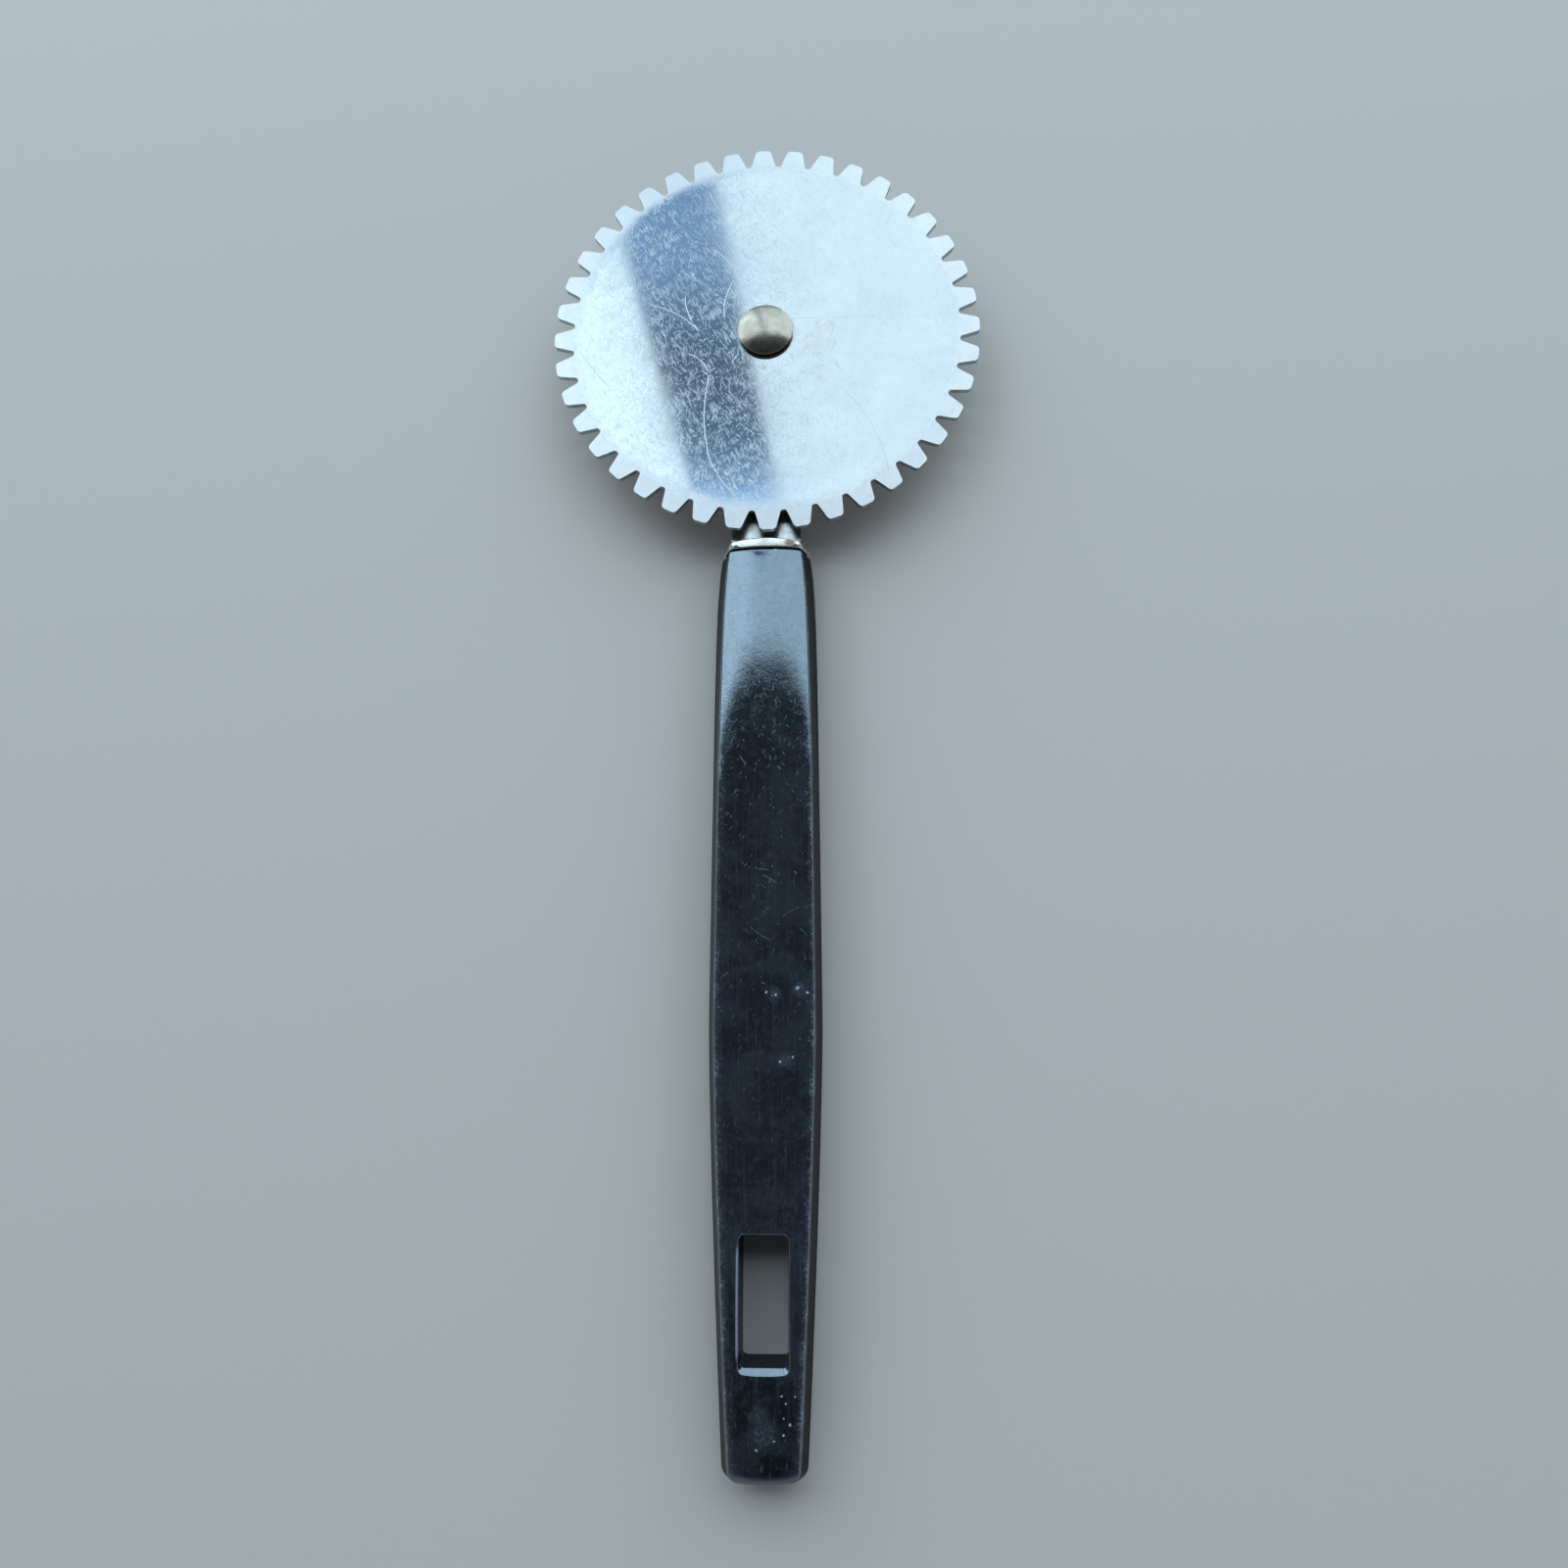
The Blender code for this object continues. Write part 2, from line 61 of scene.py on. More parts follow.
# From the frame
WHEEL_LOW, WHEEL_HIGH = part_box("cutting_wheel")
SHANK_LOW, SHANK_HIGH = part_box("shank")
HANDLE_LOW, HANDLE_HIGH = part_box("handle")
BOLSTER_LOW, BOLSTER_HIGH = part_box("bolster")
RIVET_LOW, RIVET_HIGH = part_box("axle_rivet")
BURR_LOW, BURR_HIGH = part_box("rivet_burr")
SPACER_LOW, SPACER_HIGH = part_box("spacer_washer")
AXLE_Y = (WHEEL_LOW.y + WHEEL_HIGH.y) / 2
GAP = 0.3 * MM
HEAD_GAP = 0.25 * MM

# Wheel
WHEEL_RADIUS = (WHEEL_HIGH.x - WHEEL_LOW.x) / 2
TOOTH_COUNT = 40
TOOTH_DEPTH = 2.8 * MM
TOOTH_TIP_WIDTH = 2.1 * MM
TOOTH_ROOT_GAP = 0.7 * MM
TOOTH_TIP_ROUND = 0.6 * MM
TOOTH_ROOT_ROUND = 0.42 * MM
TOOTH_ARC_STEPS = 5
WHEEL_TURN = math.radians(0.7)
TOOTH_WEAR = 0.035 * MM
WHEEL_EDGE_ROUND = 0.09 * MM

# Rivet and washers
HEAD_RADIUS = (RIVET_HIGH.x - RIVET_LOW.x) / 2
HEAD_BOTTOM = WHEEL_HIGH.z + HEAD_GAP
HEAD_RIM_HEIGHT = 0.45 * MM
HEAD_EDGE_BREAK = 0.1 * MM
HEAD_DOME_INSET = 0.03 * MM
HEAD_DOME_STEPS = 24
PIN_RADIUS = 2.0 * MM
TAIL_RADIUS = 3.0 * MM
TAIL_DOME_STEPS = 10
DENT_DEPTH = 0.03 * MM
DENTS_PER_MM = 0.45
DENTS_INSET_MM = 0.1
HEAD_DENTS_ABOVE_MM = 7.2
TAIL_DENTS_BELOW_MM = 2.0
RUNNING_HOLE = 2.1 * MM
FIXED_HOLE = 2.3 * MM
WASHER_EDGE_ROUND = 0.12 * MM
WASHER_EDGE_STEPS = 4
TURN_STEPS = 128

# Shank
NECK_WIDTH = SHANK_HIGH.x - SHANK_LOW.x
NECK_END_ROUND = 0.49 * NECK_WIDTH
SHOULDER_ROUND = 0.3 * MM
TANG_WIDTH = 7.4 * MM
TANG_TIP_WIDTH = 4.6 * MM
TANG_TIP_ROUND = 1.0 * MM
TANG_TAPER_LENGTH = 12.0 * MM
SHANK_EDGE_ROUND = 0.35 * MM
SHANK_ARC_STEPS = 24

# Handle section: drafted sides that meet in a fine parting ridge, and a crowned top
HANDLE_FRONT_Y = HANDLE_HIGH.y
HANDLE_LENGTH = HANDLE_HIGH.y - HANDLE_LOW.y
HANDLE_WIDTH = 14.2 * MM
HANDLE_THICKNESS = HANDLE_HIGH.z
PARTING_HEIGHT = 3.5 * MM
PARTING_LEDGE = 0.1 * MM
FRONT_LEDGE = 0.25 * MM
LEDGE_FADE_LENGTH = 32.0 * MM
# The ridge on the ledge: shares of the ledge's width, and heights over the parting line in mm
RIDGE_SHAPE = [(0.0, -0.3), (0.8, -0.12), (1.0, -0.02), (0.85, 0.08), (0.4, 0.17)]
RIDGE_TOP = (-0.02 * MM, 0.32 * MM)
FRONT_DRAFT = 1.2 * MM
MIDDLE_DRAFT = 0.9 * MM
DRAFT_CHANGE_LENGTH = 34.0 * MM
TOP_EDGE_ROUND = 0.45 * MM
UNDER_EDGE_ROUND = 0.6 * MM
CROWN_EDGE_SLOPE = math.radians(17)
CROWN_POWER = 2.6
CROWN_STEPS = 13
CROWN_EDGE_REACH = 1.0 * MM
# The corner's height is found by starting from a guess and settling in a few rounds
CORNER_DROP_GUESS = 0.6 * MM
CORNER_ROUNDS = 4
SECTION_ARC_STEPS = 7
LOWER_FLANK_POINTS = 3
UPPER_FLANK_POINTS = 4
UNDERSIDE_POINTS = 8

# Handle along its length
WIDEST_AT = 0.55 * HANDLE_LENGTH
NOSE_TAPER = 1.45 * MM
NOSE_LENGTH = 4.8 * MM
FRONT_TAPER = 0.75 * MM
FRONT_TAPER_POWER = 1.2
REAR_TAPER = 4.3 * MM
REAR_TAPER_POWER = 1.3
FRONT_THINNING = 0.5 * MM
REAR_THINNING = 1.1 * MM
END_CORNER_ROUND = 1.3 * MM
END_CORNER_FLATTENING = 0.5
END_CORNER_STEPS = 8
END_CAP_SHARES = (0.75, 0.5, 0.25)
END_FACE_BULGE = 0.45 * MM
END_FACE_DRAFT = 0.8 * MM
END_FACE_DRAFT_POWER = 1.5
END_BLEND_LENGTH = 10.0 * MM
FRONT_EDGE_ROUND = 0.45 * MM
FRONT_EDGE_STEPS = 5
STATION_SPACING = 0.7 * MM

# Hanging slot, and its rim as depth, widening at the sides and widening at the rear, in mm
SLOT_WIDTH = 5.75 * MM
SLOT_FRONT_Y = AXLE_Y - 119.3 * MM
SLOT_REAR_Y = AXLE_Y - 133.75 * MM
SLOT_CORNER_ROUND = 0.7 * MM
SLOT_CORNER_STEPS = 8
SLOT_RIM = [
    (-1.0, 0.9, 1.4),
    (0.0, 0.24, 0.58),
    (0.05, 0.13, 0.52),
    (0.15, 0.05, 0.43),
    (0.3, 0.0, 0.27),
    (0.6, 0.0, 0.0),
]

# Bolster
BOLSTER_CROWN = 0.45 * MM
BOLSTER_DRAFT = 1.2 * MM
BOLSTER_DOME = 0.5 * MM
BOLSTER_UNDER_ROUND = 0.6 * MM
BOLSTER_SIDE_ROUND = 0.5 * MM
BOLSTER_TOP_ROUND = 1.2 * MM
BOLSTER_EDGE_ROUND = 0.4 * MM
BOLSTER_EDGE_STEPS = 6
BOLSTER_ARC_STEPS = 10
BOLSTER_CROWN_STEPS = 12
# The rear edge's break: distance forward and inset
BOLSTER_REAR_BREAK = [(0.0, 0.15 * MM), (0.05 * MM, 0.05 * MM), (0.15 * MM, 0.0)]

# Meshes
WELD = 0.002 * MM
BEVEL_ABOVE = math.radians(40)
FACE_UP = 0.5
FACE_LEVEL = 0.999


def rounded_outline(corners, steps):
    """The closed outline through corners (x, y, radius), each rounded by an arc of some steps."""
    points = []
    for i, (x, y, radius) in enumerate(corners):
        corner = Vector((x, y))
        if radius == 0:
            points.append(corner)
            continue
        back = (Vector(corners[i - 1][:2]) - corner).normalized()
        ahead = (Vector(corners[(i + 1) % len(corners)][:2]) - corner).normalized()
        half = back.angle(ahead) / 2
        centre = corner + (back + ahead).normalized() * (radius / math.sin(half))
        reach = radius / math.tan(half)
        first = corner + back * reach - centre
        last = corner + ahead * reach - centre
        start = math.atan2(first.y, first.x)
        sweep = math.remainder(math.atan2(last.y, last.x) - start, math.tau)
        for step in range(steps + 1):
            angle = start + sweep * step / steps
            points.append(centre + radius * Vector((math.cos(angle), math.sin(angle))))
    return points


def circle(radius, steps=TURN_STEPS):
    angles = [math.tau * step / steps for step in range(steps)]
    return [Vector((radius * math.cos(a), radius * math.sin(a))) for a in angles]


def link(name, mesh):
    obj = bpy.data.objects.new(name, mesh)
    bpy.context.scene.collection.objects.link(obj)
    return obj


def finished(name, bm):
    """The solid with its normals outwards, linked into the scene."""
    bmesh.ops.recalc_face_normals(bm, faces=bm.faces)
    mesh = bpy.data.meshes.new(name)
    bm.to_mesh(mesh)
    bm.free()
    return link(name, mesh)


def plate(name, outlines, low, high):
    """A flat plate between two heights: the first outline is its rim and the others are holes."""
    curve = bpy.data.curves.new(name + "_outline", "CURVE")
    curve.dimensions = "2D"
    curve.fill_mode = "BOTH"
    curve.extrude = (high - low) / 2
    for outline in outlines:
        spline = curve.splines.new("POLY")
        spline.points.add(len(outline) - 1)
        for point, place in zip(spline.points, outline):
            point.co = (place.x, place.y, 0, 1)
        spline.use_cyclic_u = True
    flat = link(name + "_flat", curve)
    depsgraph = bpy.context.evaluated_depsgraph_get()
    mesh = bpy.data.meshes.new_from_object(flat.evaluated_get(depsgraph))
    bpy.data.objects.remove(flat, do_unlink=True)
    # The curve's UVs are unused, and rounding the edges would change them from run to run
    while mesh.uv_layers:
        mesh.uv_layers.remove(mesh.uv_layers[0])
    bm = bmesh.new()
    bm.from_mesh(mesh)
    bmesh.ops.remove_doubles(bm, verts=bm.verts, dist=WELD)
    bmesh.ops.translate(bm, verts=bm.verts, vec=(0, 0, (low + high) / 2))
    bpy.data.meshes.remove(mesh)
    return finished(name, bm)


def loft(name, rings, last_tip=None):
    """A closed solid through rings of equal counts, each end a fan to its centre or tip."""
    bm = bmesh.new()
    levels = [[bm.verts.new(point) for point in ring] for ring in rings]
    count = len(levels[0])
    for lower, upper in zip(levels, levels[1:]):
        for i in range(count):
            j = (i + 1) % count
            bm.faces.new((lower[i], lower[j], upper[j], upper[i]))
    for level, tip in ((levels[0], None), (levels[-1], last_tip)):
        middle = bm.verts.new(tip or sum((v.co for v in level), Vector()) / count)
        for i in range(count):
            bm.faces.new((level[i], level[(i + 1) % count], middle))
    return finished(name, bm)


def turned(name, profile, closed=False):
    """A turned solid from its (radius, height) profile, whose ends are on the axis or joined."""
    bm = bmesh.new()
    rings = []
    for radius, height in profile:
        if radius == 0:
            rings.append([bm.verts.new((0, 0, height))] * TURN_STEPS)
        else:
            rings.append([bm.verts.new((p.x, p.y, height)) for p in circle(radius)])
    pairs = list(zip(rings, rings[1:]))
    if closed:
        pairs.append((rings[-1], rings[0]))
    for upper, lower in pairs:
        for i in range(TURN_STEPS):
            j = (i + 1) % TURN_STEPS
            corners = dict.fromkeys((upper[i], upper[j], lower[j], lower[i]))
            bm.faces.new(list(corners))
    return finished(name, bm)


def cut(target, cutter):
    """Cuts a solid out of another for good, and removes the cutter."""
    boolean = target.modifiers.new("cut", "BOOLEAN")
    boolean.operation = "DIFFERENCE"
    boolean.solver = "EXACT"
    boolean.object = cutter
    apply_modifiers(target)
    bpy.data.objects.remove(cutter, do_unlink=True)


def apply_modifiers(obj):
    depsgraph = bpy.context.evaluated_depsgraph_get()
    mesh = bpy.data.meshes.new_from_object(obj.evaluated_get(depsgraph))
    obj.modifiers.clear()
    obj.data = mesh


def round_edges(obj, width, segments):
    bevel = obj.modifiers.new("rounded_edges", "BEVEL")
    bevel.width = width
    bevel.segments = segments
    bevel.limit_method = "ANGLE"
    bevel.angle_limit = BEVEL_ABOVE
    apply_modifiers(obj)


def shade(obj, degrees):
    """Smooth shading, sharp across steeper creases, with large flat faces kept flat."""
    obj.data.shade_smooth()
    obj.data.set_sharp_from_angle(angle=math.radians(degrees))
    weighted = obj.modifiers.new("flat_faces", "WEIGHTED_NORMAL")
    weighted.keep_sharp = True
    weighted.mode = "FACE_AREA"


def flatten_faces(obj):
    """Flat shading on level faces, so that their long thin triangles leave no streaks."""
    for polygon in obj.data.polygons:
        if abs(polygon.normal.z) > FACE_LEVEL:
            polygon.use_smooth = False


def cut_tang_way(obj, low_y, high_y):
    """Cuts the way that the tang runs in, with a gap all round."""
    half = TANG_WIDTH / 2 + GAP
    low = Vector((-half, low_y, SHANK_LOW.z - GAP))
    high = Vector((half, high_y, SHANK_HIGH.z + GAP))
    bm = bmesh.new()
    bmesh.ops.create_cube(bm, size=1)
    bmesh.ops.scale(bm, verts=bm.verts, vec=high - low)
    bmesh.ops.translate(bm, verts=bm.verts, vec=(low + high) / 2)
    cut(obj, finished("tang_way", bm))


def stand_for(obj, node, body, material, crease, y=0.0):
    """Finishes a piece, which rides on the body in place of the CAD node with its finish."""
    obj.data.materials.append(material)
    shade(obj, crease)
    obj.location = (0, y, 0)
    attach(obj, body)
    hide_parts(node)


# Wheel, rivet, washers and shank


def tooth_corners():
    """The rim's corners, tooth by tooth, each tooth worn a little differently."""
    root_radius = WHEEL_RADIUS - TOOTH_DEPTH
    root_half = root_radius * math.tan(math.pi / TOOTH_COUNT) - TOOTH_ROOT_GAP / 2
    tip_half = TOOTH_TIP_WIDTH / 2
    corners = []
    for k in range(TOOTH_COUNT):
        turn = WHEEL_TURN + math.tau * k / TOOTH_COUNT
        wear = [random.uniform(0, TOOTH_WEAR) for _ in range(4)]
        tooth = [
            (root_radius + wear[0], -root_half, TOOTH_ROOT_ROUND),
            (WHEEL_RADIUS - wear[1], -tip_half + wear[3], TOOTH_TIP_ROUND + wear[2]),
            (WHEEL_RADIUS - wear[2], tip_half - wear[0], TOOTH_TIP_ROUND + wear[1]),
            (root_radius + wear[3], root_half, TOOTH_ROOT_ROUND),
        ]
        for out, side, radius in tooth:
            x = out * math.cos(turn) - side * math.sin(turn)
            y = out * math.sin(turn) + side * math.cos(turn)
            corners.append((x, y, radius))
    return corners


def make_wheel(face, edge):
    """The toothed disc about its own axis: polished faces, and a stamped edge with rounded rims."""
    rim = rounded_outline(tooth_corners(), TOOTH_ARC_STEPS)
    wheel = plate("toothed_disc", [rim, circle(RUNNING_HOLE)], WHEEL_LOW.z, WHEEL_HIGH.z)
    round_edges(wheel, WHEEL_EDGE_ROUND, 3)
    stand_for(wheel, "cutting_wheel", "wheel_body", face, 35, AXLE_Y)
    flatten_faces(wheel)
    wheel.data.materials.append(edge)
    for polygon in wheel.data.polygons:
        polygon.material_index = 0 if abs(polygon.normal.z) > FACE_UP else 1


def dome(radius, base, height, steps):
    """A spherical cap's (radius, height) points, from its rim to its top."""
    sphere = (radius**2 + height**2) / (2 * height)
    full = math.asin(radius / sphere)
    angles = [full * (1 - step / steps) for step in range(steps + 1)]
    return [(sphere * math.sin(a), base + height - sphere * (1 - math.cos(a))) for a in angles]


def make_rivet(nickel):
    """The domed rivet, hammered slightly uneven."""
    rim_top = HEAD_BOTTOM + HEAD_RIM_HEIGHT
    dome_height = RIVET_HIGH.z - rim_top
    profile = dome(HEAD_RADIUS - HEAD_DOME_INSET, rim_top, dome_height, HEAD_DOME_STEPS)[::-1]
    profile[0] = (0, profile[0][1])
    tail_top = BURR_LOW.z - GAP
    profile += [
        (HEAD_RADIUS, rim_top - HEAD_EDGE_BREAK),
        (HEAD_RADIUS, HEAD_BOTTOM + HEAD_EDGE_BREAK),
        (HEAD_RADIUS - HEAD_EDGE_BREAK, HEAD_BOTTOM),
        (PIN_RADIUS, HEAD_BOTTOM),
        (PIN_RADIUS, tail_top),
    ]
    tail = dome(TAIL_RADIUS, tail_top, tail_top - RIVET_LOW.z, TAIL_DOME_STEPS)
    profile += [(r, 2 * tail_top - z) for r, z in tail]
    profile[-1] = (0, profile[-1][1])
    rivet = turned("domed_rivet", profile)
    for vertex in rivet.data.vertices:
        x, y, z = vertex.co / MM
        on_a_dome = z > HEAD_DENTS_ABOVE_MM or z < TAIL_DENTS_BELOW_MM
        if on_a_dome and math.hypot(x, y) < HEAD_RADIUS / MM - DENTS_INSET_MM:
            dent = noise.noise(Vector((DENTS_PER_MM * x, DENTS_PER_MM * y, z + 3)))
            vertex.co.z -= DENT_DEPTH * abs(dent)
    stand_for(rivet, "axle_rivet", "handle_body", nickel, 40, AXLE_Y)


def make_washer(name, hole, low, high, node, body, nickel):
    """A flat washer with a rounded rim."""
    radius = (high.x - low.x) / 2
    edge = WASHER_EDGE_ROUND
    profile = [(hole, high.z - edge), (hole + edge, high.z)]
    for first_angle, level, way in ((90, high.z, -1), (0, low.z, 1)):
        for step in range(WASHER_EDGE_STEPS + 1):
            angle = math.radians(first_angle + way * 90 * step / WASHER_EDGE_STEPS)
            inset, rise = edge * (1 - math.cos(angle)), edge * (1 - math.sin(angle))
            profile.append((radius - inset, level + way * rise))
    profile += [(hole + edge, low.z), (hole, low.z + edge)]
    washer = turned(name, profile, closed=True)
    stand_for(washer, node, body, nickel, 40, AXLE_Y)


def make_shank(steel):
    """Arm, neck, shoulders and tang in one plate, drawn about the axle."""
    shoulder_y = BOLSTER_HIGH.y + GAP - AXLE_Y
    tang_end = SHANK_LOW.y - AXLE_Y
    taper_y = tang_end + TANG_TAPER_LENGTH
    half_neck, half_tang, half_tip = NECK_WIDTH / 2, TANG_WIDTH / 2, TANG_TIP_WIDTH / 2
    left = [
        (-half_neck, half_neck, NECK_END_ROUND),
        (-half_neck, shoulder_y, SHOULDER_ROUND),
        (-half_tang, shoulder_y, 0.0),
        (-half_tang, taper_y, 0.0),
        (-half_tip, tang_end, TANG_TIP_ROUND),
    ]
    right = [(-x, y, radius) for x, y, radius in left]
    outline = rounded_outline([right[0], *left, *right[:0:-1]], SHANK_ARC_STEPS)
    shank = plate("stamped_shank", [outline, circle(FIXED_HOLE)], SHANK_LOW.z, SHANK_HIGH.z)
    round_edges(shank, SHANK_EDGE_ROUND, 4)
    stand_for(shank, "shank", "handle_body", steel, 35, AXLE_Y)
    flatten_faces(shank)


# Handle


def handle_half_width(along):
    """Half the handle's width at the parting line, at a distance behind its front."""
    if along < WIDEST_AT:
        nose = NOSE_TAPER * math.exp(-along / NOSE_LENGTH)
        taper = FRONT_TAPER * (1 - along / WIDEST_AT) ** FRONT_TAPER_POWER
        return (HANDLE_WIDTH - nose - taper) / 2
    share = (along - WIDEST_AT) / (HANDLE_LENGTH - WIDEST_AT)
    return (HANDLE_WIDTH - REAR_TAPER * share**REAR_TAPER_POWER) / 2


def handle_top(along):
    """The height of the handle's top along its middle, at a distance behind its front."""
    if along < WIDEST_AT:
        return HANDLE_THICKNESS - FRONT_THINNING * (1 - along / WIDEST_AT) ** 3
    share = (along - WIDEST_AT) / (HANDLE_LENGTH - WIDEST_AT)
    return HANDLE_THICKNESS - REAR_THINNING * share**2


def handle_draft(along):
    """How far the top and bottom faces' edges lie inside the parting line."""
    share = min(along / DRAFT_CHANGE_LENGTH, 1.0)
    return MIDDLE_DRAFT + (FRONT_DRAFT - MIDDLE_DRAFT) * (1 + math.cos(math.pi * share)) / 2


def parting_ledge(along):
    """How far a ledge stands out along the parting line: most at the front."""
    share = max(0.0, 1 - along / LEDGE_FADE_LENGTH)
    return PARTING_LEDGE + (FRONT_LEDGE - PARTING_LEDGE) * share


def shoulder(half_width, top, draft):
    """Where one side's shoulder lies: the corner's x and height, and the crown's edge and rise."""
    inner = half_width - draft
    rise = math.sin(CROWN_EDGE_SLOPE)
    corner_height = top - CORNER_DROP_GUESS
    for _ in range(CORNER_ROUNDS):
        to_flank = Vector((draft, PARTING_HEIGHT - corner_height)).normalized()
        to_crown = Vector((-math.cos(CROWN_EDGE_SLOPE), rise))
        half = to_flank.angle(to_crown) / 2
        reach = TOP_EDGE_ROUND / math.tan(half)
        edge_x = inner - reach * math.cos(CROWN_EDGE_SLOPE)
        crown = math.tan(CROWN_EDGE_SLOPE) * edge_x / CROWN_POWER
        corner_height = top - crown - reach * rise
    return inner, corner_height, edge_x, crown


def top_height(x, along):
    """The height of the crowned top at a place across it."""
    top = handle_top(along)
    _, _, edge_x, crown = shoulder(handle_half_width(along), top, handle_draft(along))
    return top - crown * abs(x / edge_x) ** CROWN_POWER


def spread(first, last, count):
    """Points between two ends, without the ends."""
    return [first.lerp(last, (i + 1) / (count + 1)) for i in range(count)]


def right_side(along, shrink):
    """(x, z) points up the section's right side, from the underside's edge to the middle's top."""
    outer = handle_half_width(along) - shrink
    top = handle_top(along) - shrink
    ledge = parting_ledge(along)
    inner, corner_height, edge_x, crown = shoulder(outer, top, handle_draft(along))
    slope_x = edge_x - CROWN_EDGE_REACH
    slope_top = corner_height + (inner - slope_x) * math.tan(CROWN_EDGE_SLOPE)
    corners = [
        (-inner, shrink, 0.0),
        (inner, shrink, UNDER_EDGE_ROUND),
        (outer - ledge, PARTING_HEIGHT, 0.0),
        (inner, corner_height, TOP_EDGE_ROUND),
        (slope_x, slope_top, 0.0),
    ]
    arcs = rounded_outline(corners, SECTION_ARC_STEPS)
    arc = SECTION_ARC_STEPS + 1
    under, parting, upper = arcs[1 : arc + 1], arcs[arc + 1], arcs[arc + 2 : 2 * arc + 2]
    ridge = [parting + Vector((share * ledge, rise * MM)) for share, rise in RIDGE_SHAPE]
    ridge.append(parting + Vector(RIDGE_TOP))
    points = under + spread(under[-1], ridge[0], LOWER_FLANK_POINTS) + ridge
    points += spread(ridge[-1], upper[0], UPPER_FLANK_POINTS) + upper
    for i in range(1, CROWN_STEPS + 1):
        share = 1 - i / CROWN_STEPS
        points.append(Vector((share * edge_x, top - crown * share**CROWN_POWER)))
    return points


def handle_section(along, shrink=0.0):
    """The closed section at a distance behind the handle's front, anticlockwise."""
    right = right_side(along, shrink)
    left = [Vector((-p.x, p.y)) for p in right[-2::-1]]
    underside = spread(left[-1], right[0], UNDERSIDE_POINTS)
    return right + left + underside


def end_blend(along):
    """0 along most of the handle, rising to 1 at its end."""
    return max(0.0, 1 - (HANDLE_LENGTH - along) / END_BLEND_LENGTH) ** 2


def place_section(section, along):
    """The section upright at a distance behind the front, with the end's bulge and draft."""
    blend = end_blend(along)
    widest = handle_half_width(along)
    placed = []
    for point in section:
        bulge = END_FACE_BULGE * (point.x / widest) ** 2
        above = (point.y - PARTING_HEIGHT) / PARTING_HEIGHT
        drafted = END_FACE_DRAFT * abs(above) ** END_FACE_DRAFT_POWER
        back = along - blend * (bulge + drafted)
        placed.append(Vector((point.x, HANDLE_FRONT_Y - back, point.y)))
    return placed


def end_ring(along, across, tall):
    """A ring of the rounded end: the section drawn in towards its middle."""
    section = [
        Vector((p.x * across, PARTING_HEIGHT + (p.y - PARTING_HEIGHT) * tall))
        for p in handle_section(along)
    ]
    return place_section(section, along)


def handle_rings():
    """The handle's sections from its rounded front edge to its rounded end."""
    rings = []
    for step in range(FRONT_EDGE_STEPS):
        angle = math.radians(90 * step / FRONT_EDGE_STEPS)
        along = FRONT_EDGE_ROUND * (1 - math.cos(angle))
        shrink = FRONT_EDGE_ROUND * (1 - math.sin(angle))
        rings.append(place_section(handle_section(along, shrink), along))
    start = HANDLE_LENGTH - END_CORNER_ROUND
    count = round((start - FRONT_EDGE_ROUND) / STATION_SPACING)
    for i in range(count + 1):
        along = FRONT_EDGE_ROUND + (start - FRONT_EDGE_ROUND) * i / count
        rings.append(place_section(handle_section(along), along))
    for step in range(1, END_CORNER_STEPS + 1):
        angle = math.radians(90 * step / END_CORNER_STEPS)
        along = start + END_CORNER_ROUND * math.sin(angle)
        inset = END_CORNER_ROUND * (1 - math.cos(angle))
        across = 1 - inset / handle_half_width(along)
        tall = 1 - END_CORNER_FLATTENING * inset / PARTING_HEIGHT
        rings.append(end_ring(along, across, tall))
    for share in END_CAP_SHARES:
        rings.append(end_ring(HANDLE_LENGTH, share * across, share * tall))
    return rings


def slot_ring(side_offset, rear_offset, heights):
    """One level of the slot's cutter; heights gives a point's height from its x and y."""
    side = SLOT_WIDTH / 2 + side_offset
    rear_y, front_y = SLOT_REAR_Y - rear_offset, SLOT_FRONT_Y + side_offset
    places = [(side, rear_y), (side, front_y), (-side, front_y), (-side, rear_y)]
    corners = [(x, y, SLOT_CORNER_ROUND) for x, y in places]
    outline = rounded_outline(corners, SLOT_CORNER_STEPS)
    return [Vector((p.x, p.y, heights(p.x, p.y))) for p in outline]


def make_slot_cutter():
    """The hanging slot with rounded rims that follow the crowned top, and a chamfer at its rear."""
    rings = []
    for depth, side, rear in SLOT_RIM:
        rings.append(slot_ring(side * MM, rear * MM, lambda x, y, d=depth: d * MM))
    for depth, side, rear in SLOT_RIM[::-1]:

        def below_top(x, y, d=depth):
            return top_height(x, HANDLE_FRONT_Y - y) - d * MM

        rings.append(slot_ring(side * MM, rear * MM, below_top))
    return loft("slot_cutter", rings)


